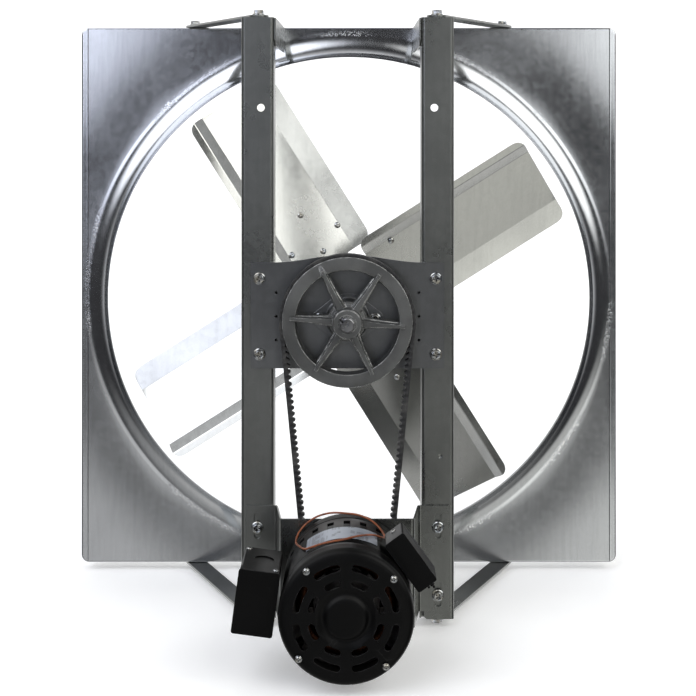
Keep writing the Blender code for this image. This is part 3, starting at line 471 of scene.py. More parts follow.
def drawing_marks(tree, where, tint, surface):
    """Bright stretch marks where the sheet was drawn into the throat's roll, and creases by its sides."""
    spot = node(tree, "VectorMath", {0: where, 1: (1, 0, 1)}, operation="MULTIPLY").outputs[0]
    radius = node(tree, "VectorMath", {0: spot}, operation="LENGTH").outputs["Value"]
    inside, outside = between(tree, radius, 0.3385, 0.3415), between(tree, radius, 0.3475, 0.3435)
    ring = maths(tree, "MULTIPLY", inside, outside)
    patch = maths(tree, "MULTIPLY", ring, between(tree, noise(tree, where, 9, 2), 0.46, 0.6))
    flecks = maths(tree, "MULTIPLY", patch, between(tree, noise(tree, where, 480, 1), 0.52, 0.6))
    tint = blended(tree, maths(tree, "MULTIPLY", flecks, 0.6), tint, (0.82, 0.82, 0.83))
    surface = bump(tree, flecks, 0.00022, 0.8, surface)
    # The flat bows towards the roll.
    rise = between(tree, radius, 0.345, 0.45)
    rise = maths(tree, "MULTIPLY", rise, maths(tree, "SUBTRACT", 2.0, rise))
    surface = bump(tree, rise, 0.0011, 1.0, surface)
    side = maths(tree, "ABSOLUTE", node(tree, "SeparateXYZ", {0: where}).outputs[0])
    crease = maths(tree, "ABSOLUTE", maths(tree, "SUBTRACT", side, 0.3425))
    return tint, bump(tree, between(tree, crease, 0.0014, 0.0), 0.0002, 0.5, surface)


def cast_zinc(name, tone, worn, wear):
    """Die-cast metal: fine grain, dark skin, bright worn edges."""
    look, tree, shader, where = new_look(name)
    grain = noise(tree, where, 1400, 4)
    cloud = noise(tree, where, 26, 5)
    tint = blended(tree, between(tree, cloud, 0.3, 0.7), scaled(tone, 0.75), scaled(tone, 1.25))
    edge = edge_wear(tree, where, wear, 160)
    tint = blended(tree, edge, tint, worn)
    feed(tree, shader, Base_Color=tint, Metallic=0.85)
    gloss = between(tree, grain, 0.3, 0.7, 0.38, 0.56)
    feed(tree, shader, Roughness=maths(tree, "SUBTRACT", gloss, maths(tree, "MULTIPLY", edge, 0.14)))
    surface = bump(tree, grain, 0.0001, 0.5)
    feed(tree, shader, Normal=bump(tree, cloud, 0.0004, 0.5, surface))
    return look


DUST = 0.056


def black_paint(name, tone, rough, ripple):
    """Semi-gloss enamel: slight orange peel, dust on upper faces, thin scratches, rubbed edges."""
    look, tree, shader, where = new_look(name)
    peel = noise(tree, where, 420, 2)
    cloud = noise(tree, where, 14, 6)
    scratch = node(tree, "TexVoronoi", {"Vector": where, "Scale": 55}, feature="DISTANCE_TO_EDGE")
    thin = between(tree, scratch.outputs[0], 0.012, 0.0)
    thin = maths(tree, "MULTIPLY", thin, between(tree, noise(tree, where, 30, 2), 0.58, 0.68, 0, 0.5))
    up = node(tree, "SeparateXYZ", {0: node(tree, "NewGeometry").outputs["Normal"]}).outputs[2]
    settled = maths(tree, "MULTIPLY", between(tree, up, 0.1, 1.0), between(tree, cloud, 0.35, 0.7))
    specks = between(tree, noise(tree, where, 1900, 1), 0.7, 0.78)
    settled = maths(tree, "MULTIPLY", settled, DUST)
    settled = maths(tree, "ADD", settled, maths(tree, "MULTIPLY", specks, 0.05))
    tint = blended(tree, settled, tone, (0.2, 0.19, 0.17))
    tint = blended(tree, thin, tint, (0.035, 0.035, 0.035))
    rubbed = maths(tree, "MULTIPLY", edge_wear(tree, where, 0.0006, 90), 0.35)
    tint = blended(tree, rubbed, tint, (0.16, 0.16, 0.16))
    feed(tree, shader, Base_Color=tint, Specular_IOR_Level=0.13)
    feed(tree, shader, Roughness=between(tree, cloud, 0.3, 0.7, rough - 0.06, rough + 0.12))
    feed(tree, shader, Normal=bump(tree, peel, 0.00012, ripple))
    return look


def rubber(name):
    """Cord-backed rubber with pale chalky wear."""
    look, tree, shader, where = new_look(name)
    weave = noise(tree, where, 2600, 2)
    cloud = noise(tree, where, 40, 4)
    tint = blended(tree, between(tree, cloud, 0.45, 0.75), (0.011, 0.011, 0.012), (0.05, 0.048, 0.045))
    feed(tree, shader, Base_Color=tint, Roughness=between(tree, cloud, 0.3, 0.7, 0.48, 0.68))
    feed(tree, shader, Normal=bump(tree, weave, 0.00008, 0.4))
    return look


def plated(name, tone, rough):
    """Zinc-plated hardware, slightly dulled, with a trace of yellow passivation and painted shade in its
    recesses.
    """
    look, tree, shader, where = new_look(name)
    cloud = noise(tree, where, 120, 4)
    tint = blended(tree, between(tree, cloud, 0.35, 0.7), tone, scaled((0.5, 0.47, 0.4), 0.9))
    pits = between(tree, noise(tree, where, 900, 3), 0.62, 0.72, 0, 0.5)
    tint = blended(tree, pits, tint, (0.12, 0.115, 0.105))
    # Painted shade: the colour darkens to near black in recesses and round washers, where ambient occlusion
    # finds nearby surfaces.
    painted_shade_ao = node(tree, "AmbientOcclusion", {"Distance": 0.0022}, samples=6).outputs["AO"]
    tint = blended(tree, between(tree, painted_shade_ao, 0.75, 0.3), tint, (0.012, 0.012, 0.013))
    feed(tree, shader, Base_Color=tint, Metallic=1.0)
    feed(tree, shader, Roughness=between(tree, cloud, 0.3, 0.75, rough, rough + 0.22))
    feed(tree, shader, Normal=bump(tree, noise(tree, where, 700, 2), 0.00006, 0.4))
    return look


def turned_steel(name, tone, rough):
    """Ground bar: fine rings round the Y axis."""
    look, tree, shader, where = new_look(name)
    rings = noise(tree, where, 500, 2, (0.04, 5, 0.04))
    cloud = noise(tree, where, 45, 4)
    tint = blended(tree, between(tree, cloud, 0.4, 0.75), tone, scaled(tone, 0.6))
    feed(tree, shader, Base_Color=tint, Metallic=1.0, Anisotropic=0.4)
    feed(tree, shader, Roughness=between(tree, rings, 0.3, 0.7, rough - 0.05, rough + 0.12))
    feed(tree, shader, Normal=bump(tree, rings, 0.00004, 0.5))
    return look


def tinted_metal(name, tone, rough, scale, band=None):
    """Copper, bronze and laminated iron, with bands across the Y axis if asked."""
    look, tree, shader, where = new_look(name)
    cloud = noise(tree, where, scale, 4)
    tint = blended(tree, between(tree, cloud, 0.3, 0.7), scaled(tone, 0.65), scaled(tone, 1.15))
    height = noise(tree, where, scale * 9, 2)
    if band:
        height = node(tree, "TexWave", {"Vector": where, "Scale": band}, bands_direction="Y").outputs[1]
        tint = blended(tree, between(tree, height, 0.15, 0.0), tint, scaled(tone, 0.15))
    feed(tree, shader, Base_Color=tint, Metallic=0.95)
    feed(tree, shader, Roughness=between(tree, cloud, 0.3, 0.7, rough - 0.07, rough + 0.1))
    feed(tree, shader, Normal=bump(tree, height, 0.0002, 0.5))
    return look


def foil_label(name):
    """Silver foil with generic printed rows that can't be read: frames, bars and dashes."""
    look, tree, shader, where = new_look(name)
    parts = node(tree, "SeparateXYZ", {0: where}).outputs
    row = maths(tree, "FRACT", maths(tree, "MULTIPLY", parts[1], 260))
    line = maths(tree, "MULTIPLY", between(tree, row, 0.3, 0.36), between(tree, row, 0.78, 0.72))
    dash = between(tree, noise(tree, where, 420, 0, (1, 0.02, 1)), 0.46, 0.5)
    block = between(tree, noise(tree, where, 60, 0, (1, 1.4, 1)), 0.44, 0.47)
    print_share = maths(tree, "MULTIPLY", maths(tree, "MULTIPLY", line, dash), block)
    cloud = noise(tree, where, 30, 4)
    tint = blended(tree, between(tree, cloud, 0.3, 0.7), (0.36, 0.39, 0.45), (0.46, 0.49, 0.54))
    tint = blended(tree, maths(tree, "MULTIPLY", print_share, 0.85), tint, (0.03, 0.03, 0.035))
    feed(tree, shader, Base_Color=tint, Metallic=0.55)
    feed(tree, shader, Roughness=between(tree, cloud, 0.3, 0.7, 0.36, 0.5))
    feed(tree, shader, Normal=bump(tree, noise(tree, where, 300, 2), 0.00008, 0.4))
    return look


def insulation(name, tone):
    """Faded wire insulation."""
    look, tree, shader, where = new_look(name)
    cloud = noise(tree, where, 90, 4)
    tint = blended(tree, between(tree, cloud, 0.3, 0.75), tone, scaled(tone, 0.45))
    feed(tree, shader, Base_Color=tint, Roughness=between(tree, cloud, 0.3, 0.7, 0.32, 0.5))
    feed(tree, shader, Normal=bump(tree, noise(tree, where, 900, 2), 0.00005, 0.4))
    return look


# ---------------------------------------------------------------- studio

# Soft lights seen by the metal: direction, inner and outer half angle in degrees, strength, tint.
LOBES = [
    ((-0.55, -0.5, 0.67), 20, 36, 2.5, (0.96, 0.98, 1.04)),
    ((0.64, -0.54, 0.56), 19, 34, 2.3, (1.0, 1.0, 0.97)),
    ((-0.27, -1.0, 0.1), 4, 9.2, 2.4, (0.92, 0.96, 1.1)),
    ((0.262, -1.0, 0.1), 4, 9.2, 2.2, (0.99, 1.0, 0.99)),
    ((0.36, -0.72, -0.6), 12, 28, 0.62, (1.0, 1.0, 0.94)),
    ((-0.25, -1.0, -0.36), 4, 12, 0.75, (1.0, 1.0, 0.98)),
    ((0.25, -1.0, -0.36), 4, 12, 0.85, (1.0, 1.0, 0.95)),
    ((-0.4, -0.45, -0.9), 15, 38, 0.34, (1.0, 1.0, 0.98)),
    ((0.0, 1.0, 0.1), 50, 98, 0.95, (1.0, 1.0, 1.0)),
    ((0.0, 0.2, -1.0), 20, 60, 0.3, (1.0, 0.99, 0.94)),
]
ROOM_GLOW = 0.045
FLOOR_Z = CAD_LOW[2] - 0.0006


def build_world():
    world = bpy.data.worlds.new("studio")
    bpy.context.scene.world = world
    world.use_nodes = True
    tree = world.node_tree
    tree.nodes.clear()
    where = node(tree, "TexCoord").outputs["Generated"]
    total = node(tree, "RGB")
    total.outputs[0].default_value = (ROOM_GLOW, ROOM_GLOW, ROOM_GLOW * 1.04, 1)
    light = total.outputs[0]
    for direction, inner, outer, strength, tint in LOBES:
        aim = tuple(Vector(direction).normalized())
        facing = node(tree, "VectorMath", {0: where, 1: aim}, operation="DOT_PRODUCT").outputs["Value"]
        low, high = math.cos(math.radians(outer)), math.cos(math.radians(inner))
        share = between(tree, facing, low, high, 0, strength)
        lobe = node(tree, "VectorMath", {0: tint, "Scale": share}, operation="SCALE").outputs[0]
        light = node(tree, "VectorMath", {0: light, 1: lobe}, operation="ADD").outputs[0]
    seen = node(tree, "LightPath").outputs["Is Camera Ray"]
    shown = blended(tree, seen, light, (1.0, 1.0, 1.0))
    background = node(tree, "Background", {"Color": shown, "Strength": 1.0})
    node(tree, "OutputWorld", {"Surface": background.outputs[0]})


def build_floor():
    """A pale floor that sweeps up behind the fan. The metal reflects the studio, not the floor."""
    line = [(-3.2, FLOOR_Z), (1.6, FLOOR_Z)]
    line += arc((1.6, FLOOR_Z + 0.9), 0.9, -90, 0, 16)[1:]
    line += [(2.5, 3.4)]
    bm = bmesh.new()
    rings = [[bm.verts.new((x, y, z)) for x in (-4.5, -1.5, 1.5, 4.5)] for y, z in line]
    for first, second in zip(rings, rings[1:]):
        for i in range(3):
            bm.faces.new((first[i], first[i + 1], second[i + 1], second[i]))
    mesh = bpy.data.meshes.new("studio_sweep")
    bm.to_mesh(mesh)
    bm.free()
    sweep = bpy.data.objects.new("studio_sweep", mesh)
    bpy.context.scene.collection.objects.link(sweep)
    mesh.shade_smooth()
    look, tree, shader, where = new_look("sweep_paper")
    fibre = noise(tree, where, 40, 5)
    tint = blended(tree, between(tree, fibre, 0.3, 0.7), (0.9, 0.9, 0.9), (0.93, 0.93, 0.925))
    feed(tree, shader, Base_Color=tint, Roughness=0.9, Normal=bump(tree, fibre, 0.0005, 0.2))
    feed(tree, shader, Emission_Color=(1, 1, 1, 1), Emission_Strength=0.22)
    mesh.materials.append(look)
    sweep.visible_glossy = False


CAMERA_SPOT = Vector((0.0126, FACE_Y - 2.0, 0.24))
CAMERA_SHIFT = {"shift_x": -0.015, "shift_y": -0.3391}


def build_camera():
    """A level camera above the fan's axis. Its rising front applies only at its own place."""
    data = bpy.data.cameras.new("camera")
    data.lens = 78.9
    data.sensor_width = 36.0
    camera = bpy.data.objects.new("camera", data)
    bpy.context.scene.collection.objects.link(camera)
    camera.location = CAMERA_SPOT
    camera.rotation_euler = (math.radians(90), 0, 0)
    bpy.context.scene.camera = camera
    for name, amount in CAMERA_SHIFT.items():
        driver = data.driver_add(name).driver
        driver.type = "SCRIPTED"
        for letter, path in (("y", "location[1]"), ("z", "location[2]")):
            variable = driver.variables.new()
            variable.name = letter
            variable.type = "SINGLE_PROP"
            variable.targets[0].id = camera
            variable.targets[0].data_path = path
        near = f"abs(y - {CAMERA_SPOT.y:.6f}) + abs(z - {CAMERA_SPOT.z:.6f}) < 0.001"
        driver.expression = f"{amount} if {near} else 0.0"


LOOKS = {
    "orifice_sheet": zinc_sheet("orifice_sheet", (0.6, 0.615, 0.64), 0.15, 0.03, drawing_marks),
    "frame_steel": zinc_sheet("frame_steel", (0.25, 0.257, 0.247), rough=0.27, grime=0.03),
    "bearing_plate_steel": zinc_sheet("bearing_plate_steel", (0.215, 0.22, 0.224), rough=0.29, grime=0.03),
    "blade_sheet": zinc_sheet("blade_sheet", (0.62, 0.625, 0.605), rough=0.2, grime=0.06),
    "zinc_plated": plated("zinc_plated", (0.5, 0.53, 0.57), 0.12),
    "ground_steel": turned_steel("ground_steel", (0.44, 0.44, 0.45), 0.24),
    "cast_metal": cast_zinc("cast_metal", (0.135, 0.137, 0.135), worn=(0.75, 0.75, 0.73), wear=0.0014),
    "belt_rubber": rubber("belt_rubber"),
    "black_paint": black_paint("black_paint", (0.0013, 0.0013, 0.0014), 0.36, 0.4),
    "capacitor_can": black_paint("capacitor_can", (0.0028, 0.0028, 0.003), 0.28, 0.3),
    "label_foil": foil_label("label_foil"),
    "lead_insulation": insulation("lead_insulation", (0.29, 0.08, 0.026)),
    "lamination": tinted_metal("lamination", (0.16, 0.15, 0.145), 0.45, 70, band=250),
    "winding_copper": tinted_metal("winding_copper", (0.07, 0.026, 0.012), 0.34, 300),
    "bearing_bronze": tinted_metal("bearing_bronze", (0.42, 0.27, 0.12), 0.34, 120),
}


def finish_cad_nodes():
    """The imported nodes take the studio's materials."""
    slots = {row["node"]: row["material_slot"] for row in frame["record"]["subparts"]}
    for name, obj in frame["nodes"].items():
        look = LOOKS[slots[name]]
        if not obj.material_slots:
            obj.data.materials.append(look)
        for entry in obj.material_slots:
            entry.material = look


# ---------------------------------------------------------------- orifice panel


PANEL_HALF = 0.3505
ROLL_R = 0.345
THROAT_R = 0.312
ROLL_HEIGHT = 0.031
PANEL_SHEET = 0.0012
PANEL_CORNER = 0.010


def square_line(inset):
    """The panel's outline: even points on the sides and close ones round the corners."""
    half = PANEL_HALF - inset
    radius = max(PANEL_CORNER - inset, 0.003)
    inner = half - radius
    points = []
    for quarter in range(4):
        turn = math.radians(90 * quarter)
        side = [(half, -inner + 2 * inner * i / 56) for i in range(56)]
        side += arc((inner, inner), radius, 0, 90, 8)[:-1]
        for x, z in side:
            points.append(
                (x * math.cos(turn) - z * math.sin(turn), x * math.sin(turn) + z * math.cos(turn))
            )
    return points


def build_panel():
    outer = square_line(0)

    def ring(radius, at):
        points = []
        for x, z in outer:
            scale = radius / math.hypot(x, z)
            points.append((x * scale, -at, z * scale))
        return points

    def square(inset, at):
        return [(x, -at, z) for x, z in square_line(inset)]

    def shared(share, inset, at):
        """A ring part of the way from the roll to the edge, so that the flat has even faces."""
        rows = []
        for (x, _, z), (far_x, _, far_z) in zip(ring(ROLL_R, at), square(inset, at)):
            rows.append((x + (far_x - x) * share, -at, z + (far_z - z) * share))
        return rows

    lip_bead = 0.0006
    width = ROLL_R - THROAT_R
    steps = 22
    rings = [square(0, -PANEL_FLANGE), square(0, -0.002)]
    for k in (1, 2, 3):
        turn = math.radians(22.5 * k)
        rings.append(square(0.002 * (1 - math.cos(turn)), -0.002 * (1 - math.sin(turn))))
    rings += [square(0.002, 0), square(0.0028, 0)]
    rings += [shared(share, 0.0028, 0) for share in (0.8, 0.55, 0.3, 0.12)]
    for k in range(steps + 1):
        turn = math.radians(90 * k / steps)
        rings.append(ring(ROLL_R - width * math.sin(turn), ROLL_HEIGHT * (1 - math.cos(turn))))
    rings += [ring(THROAT_R - lip_bead, ROLL_HEIGHT + 0.0001)]
    for k in range(steps, -1, -1):
        turn = math.radians(90 * k / steps)
        across = (width + PANEL_SHEET) * math.sin(turn)
        rings.append(ring(ROLL_R - across, ROLL_HEIGHT - (ROLL_HEIGHT + PANEL_SHEET) * math.cos(turn)))
    rings += [shared(share, 0.003, -PANEL_SHEET) for share in (0.12, 0.3, 0.55, 0.8)]
    rings.append(square(0.0024, -PANEL_SHEET - 0.0002))
    rings += [square(PANEL_SHEET, at) for at in (-0.0026, -PANEL_FLANGE)]
    stands_for("panel", "orifice_panel", skin(rings), 40)


# ---------------------------------------------------------------- belt and pulleys


BELT_PITCH = 0.0068
COG_DEPTH = 0.0032


def straight_run(angle, radius, centre_z, along):
    """A point some way along the straight run that leaves a pulley at an angle, and that angle."""
    start = Vector((radius * math.cos(angle), centre_z + radius * math.sin(angle)))
    way = Vector((-math.sin(angle), math.cos(angle)))
    return tuple(start + way * along), angle


def belt_route(spacing):
    """Points evenly along the belt's outer face, each with the angle of its outward normal."""
    fan_r, motor_r = FAN_BELT_R, MOTOR_BELT_R
    lean = math.asin((fan_r - motor_r) / -MOTOR_Z)
    straight = -MOTOR_Z * math.cos(lean)
    fan_turn, motor_turn = math.pi + 2 * lean, math.pi - 2 * lean
    length = fan_r * fan_turn + motor_r * motor_turn + 2 * straight
    count = round(length / spacing)
    result = []
    for i in range(count):
        s = length * i / count
        if s < fan_r * fan_turn:
            angle = -lean + s / fan_r
            result.append(((fan_r * math.cos(angle), fan_r * math.sin(angle)), angle))
            continue
        s -= fan_r * fan_turn
        if s < straight:
            result.append(straight_run(math.pi + lean, fan_r, 0, s))
            continue
        s -= straight
        if s < motor_r * motor_turn:
            angle = math.pi + lean + s / motor_r
            result.append(((motor_r * math.cos(angle), MOTOR_Z + motor_r * math.sin(angle)), angle))
            continue
        s -= motor_r * motor_turn
        result.append(straight_run(-lean, motor_r, MOTOR_Z, s))
    return result


def build_belt():
    """A raw-edge cogged V-belt: fabric back, notches moulded across the inner side."""
    per_cog = 8
    route = belt_route(BELT_PITCH / per_cog)
    count = len(route) // per_cog * per_cog
    route = [route[int(i * len(route) / count)] for i in range(count)]
    cog = (0.0, 0.0, 0.12, 0.75, 1.0, 1.0, 0.75, 0.12)
    rings = []
    for i, ((x, z), angle) in enumerate(route):
        depth = 0.0046 + COG_DEPTH * cog[i % per_cog]
        low = 0.0042 + 0.0022 * (0.008 - depth) / 0.0034
        section = [
            (0.0004, 0.0060), (0.0, 0.0054), (0.0, -0.0054), (0.0004, -0.0060),
            (0.0012, -0.00625), (depth - 0.0004, -low), (depth, -low + 0.0006),
            (depth, low - 0.0006), (depth - 0.0004, low), (0.0012, 0.00625),
        ]
        ring = []
        for drop, across in section:
            ring.append((x - drop * math.cos(angle), -(BELT_AT + across), z - drop * math.sin(angle)))
        rings.append(ring)
    belt = piece("belt", skin(rings), LOOKS["belt_rubber"], None, ["drive_belt"], 38)
    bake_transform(belt)


def sheave_profile(outer, belt_r, inner):
    """Rim section of a V-belt pulley: two lips and the groove between them."""
    half = SHEAVE_FACE
    floor = belt_r - 0.0105
    return [
        (inner, BELT_AT - half + 0.0008), (inner + 0.0008, BELT_AT - half),
        (outer - 0.0012, BELT_AT - half), (outer - 0.0003, BELT_AT - half + 0.0004),
        (outer, BELT_AT - half + 0.0012), (outer, BELT_AT - 0.0072), (outer - 0.0006, BELT_AT - 0.0064),
        (floor + 0.001, BELT_AT - 0.0040), (floor, BELT_AT - 0.0032), (floor, BELT_AT + 0.0032),
        (floor + 0.001, BELT_AT + 0.0040), (outer - 0.0006, BELT_AT + 0.0064), (outer, BELT_AT + 0.0072),
        (outer, BELT_AT + half - 0.0012), (outer - 0.0003, BELT_AT + half - 0.0004),
        (outer - 0.0012, BELT_AT + half),
    ]


def tapered_spoke(start, end, width_start, width_end, near, far, round_by):
    """A cast spoke along X with drafted sides and a rounded top: widest at the hub."""
    draft = 0.0006
    stations = []
    for k in range(9):
        t = k / 8
        flare = 0.5 * (1 - t) ** 3 + 0.5 * (1 - t)
        half = (width_end + (width_start - width_end) * flare) / 2
        side = [(half + draft, near), (half, far - round_by), (half - 0.3 * round_by, far - 0.3 * round_by)]
        side.append((half - round_by, far))
        section = side + [(-z, at) for z, at in reversed(side)]
        stations.append([(start + (end - start) * t, -at, z) for z, at in section])
    bm = capped(stations)
    bmesh.ops.recalc_face_normals(bm, faces=bm.faces[:])
    return bm


def build_fan_pulley():
    """Die-cast pulley: wide rim face, six ribbed spokes and a keyed hub."""
    rim = sheave_profile(0.0745, FAN_BELT_R, 0.0585)
    face = BELT_AT + SHEAVE_FACE
    rim += [(0.0609, face), (0.0598, face - 0.0006), (0.0590, face - 0.0030), (0.0585, BELT_AT + 0.0005)]
    pulley = stands_for("fan_sheave", "fan_pulley", turned(rim, 144))
    hub = [
        (0.0079, 0.2475), (0.0160, 0.2475), (0.0168, 0.2483), (0.0172, 0.2700), (0.0166, 0.2782),
        (0.0158, 0.2790), (0.0106, 0.2790), (0.0100, 0.2784), (0.0079, 0.2784),
    ]
    web = [(0.0079, 0.2496), (0.0232, 0.2496), (0.0226, 0.2540), (0.0205, 0.2562), (0.0079, 0.2590)]
    shapes = [turned(hub, 64), turned(web, 64)]
    for k in range(6):
        turn = math.radians(60 * k - 4)
        shapes.append(spun(tapered_spoke(0.0120, 0.0602, 0.0150, 0.0072, 0.2493, 0.2570, 0.0012), turn))
        shapes.append(spun(tapered_spoke(0.0125, 0.0655, 0.0086, 0.0040, 0.2530, 0.2672, 0.0006), turn))
    weld(pulley, shapes)
    keyway = spun(box(-0.0026, 0.0026, 0.2400, 0.2900, 0.004, 0.0106), KEY_TURN)
    cut(pulley, [keyway, rod(SHAFT_R, 0.24, 0.29, steps=48)])
    flatten(pulley)


def build_motor_pulley():
    profile = sheave_profile(0.0475, MOTOR_BELT_R, 0.0063)[2:]
    profile = [(0.0063, BELT_AT - SHEAVE_FACE)] + profile
    face = BELT_AT + SHEAVE_FACE
    profile += [(0.040, face), (0.0385, face - 0.004), (0.018, face - 0.004), (0.0165, face)]
    profile += [(0.0165, 0.2700), (0.0155, 0.2708), (0.0063, 0.2708)]
    stands_for("motor_sheave", "motor_pulley", turned(profile, 96, (0, MOTOR_Z)))


# ---------------------------------------------------------------- refined copies and fasteners


BODY_OF = {name: body for body, names in frame["record"]["behaviour"]["bodies"].items() for name in names}
SLOT_OF = {row["node"]: row["material_slot"] for row in frame["record"]["subparts"]}


def stands_for(name, cad, bm, smooth=32):
    """A piece that takes the body and material slot of the node it replaces."""
    slot = SLOT_OF[cad]
    return piece(name, bm, LOOKS[slot], BODY_OF[cad], [cad], smooth)


def finished(cad, bm, smooth=32):
    """The finished form of a node, named after it."""
    return stands_for(cad + "_finished", cad, bm, smooth)


def fitted(name, bm, body):
    """A small zinc-plated part that has no node of its own."""
    return piece(name, bm, LOOKS["zinc_plated"], body)


def node_shape(cad):
    """A node's faces, joined at their edges and with its flat faces whole again."""
    bm = bmesh.new()
    bm.from_mesh(frame["nodes"][cad].data)
    shifted(bm, y=-FACE_Y)
    bmesh.ops.remove_doubles(bm, verts=bm.verts, dist=0.00001)
    bmesh.ops.dissolve_limit(bm, angle_limit=math.radians(1), verts=bm.verts, edges=bm.edges)
    return bm


def refine(cad, width, smooth=40):
    """A node's own shape with its edges rounded."""
    soften(finished(cad, node_shape(cad), smooth), width, 2, 30, smooth)


def place_of(cad):
    """A node's box with the panel's front face at y = 0."""
    low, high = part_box(cad)
    return low - Vector((0, FACE_Y, 0)), high - Vector((0, FACE_Y, 0))


def cross_recess(depth, reach, at):
    """Cutters for a crossed driver recess in a head that faces the drive side."""
    half = 0.0008
    tools = [spun(box(-reach, reach, at - depth, at + 0.002, -half, half), math.pi / 2 * k) for k in (0, 1)]
    point = [(0, at - depth * 1.25), (0.0014, at - depth * 0.5), (0.0017, at + 0.002), (0, at + 0.002)]
    return tools + [turned(point, 12)]


def template(shape, unions, cuts, width):
    """The finished mesh of a small part, seated at the origin and facing the drive side."""
    obj = solid("template", shape)
    if unions:
        weld(obj, unions)
    for tool in cuts:
        cut(obj, [tool])
    soften(obj, width, 2, 30)
    mesh = obj.data
    mesh.transform(Matrix.Translation((0, -FACE_Y, 0)))
    bpy.data.objects.remove(obj, do_unlink=True)
    return mesh


def as_mesh(bm):
    mesh = bpy.data.meshes.new("template")
    bm.to_mesh(mesh)
    bm.free()
    return mesh


def stamped(mesh, spot, axis=(0, -1, 0), turn=0.0):
    """A copy of a template, turned about itself, pointed along an axis and moved to a spot."""
    bm = bmesh.new()
    bm.from_mesh(mesh)
    spun(bm, turn)
    aim = Vector((0, -1, 0)).rotation_difference(Vector(axis)).to_matrix().to_4x4()
    bm.transform(Matrix.Translation(spot) @ aim)
    return bm


def hexagon(radius, sizes):
    """Six-sided rings, each a share of the full radius at its own depth."""
    return [[(x * size, -at, z * size) for x, z in circle(radius, 6, turn=30)] for size, at in sizes]


HEAD_TALL = 0.0058


def hex_head_template():
    """Hexagon head with a washer face, a dished top and a crossed recess."""
    skirt = [(0, 0), (0.0068, 0), (0.0071, 0.0004), (0.0070, 0.0010), (0.0060, 0.0019), (0, 0.0019)]
    head = capped(hexagon(0.0059, ((1.0, 0.0012), (1.0, 0.0046), (0.93, 0.0057), (0.80, 0.0060))))
    dish = turned([(0, 0.0047), (0.0036, 0.0049), (0.0043, 0.0075), (0, 0.0075)], 32)
    return template(turned(skirt, 40), [head], [dish] + cross_recess(0.0018, 0.0033, 0.0049), 0.0002)


def pan_head_template(radius, tall):
    """Domed head with a crossed recess, on a thin washer."""
    dome = [(0, 0), (radius * 1.22, 0), (radius * 1.22, 0.0005), (radius, 0.0006), (radius, tall * 0.35)]
    dome += [(radius * 0.93, tall * 0.7), (radius * 0.72, tall * 0.92), (radius * 0.4, tall), (0, tall)]
    return template(turned(dome, 36), [], cross_recess(0.0014, radius * 0.62, tall), 0.00012)


def nut_template(radius, tall, bore):
    """Hexagon nut with chamfered corners and an open bore."""
    sizes = ((0.90, 0.0), (1.0, tall * 0.14), (1.0, tall * 0.86), (0.90, tall))
    hole = turned([(0, -0.002), (bore, -0.002), (bore, tall + 0.002), (0, tall + 0.002)], 24)
    return template(capped(hexagon(radius, sizes)), [], [hole], 0.0002)


def rivet_template():
    """Domed rivet head with a shallow ring and a dimple."""
    dome = [(0, 0), (0.0040, 0), (0.0041, 0.0003), (0.0038, 0.0010), (0.0030, 0.0017), (0.0020, 0.0021),
            (0.0013, 0.0021), (0.0008, 0.0015), (0, 0.0014)]
    return template(turned(dome, 28), [], [], 0.0001)


THREAD_PITCH = 0.0011


def threaded(radius, near, far):
    """A shank with rounded threads, on the Y axis."""
    profile = [(0, near), (radius * 0.8, near)]
    at = near + 0.0003
    while at < far - THREAD_PITCH:
        profile += [(radius, at + THREAD_PITCH * 0.3), (radius * 0.86, at + THREAD_PITCH * 0.8)]
        at += THREAD_PITCH
    profile += [(radius, far), (0, far)]
    return turned(profile, 20)


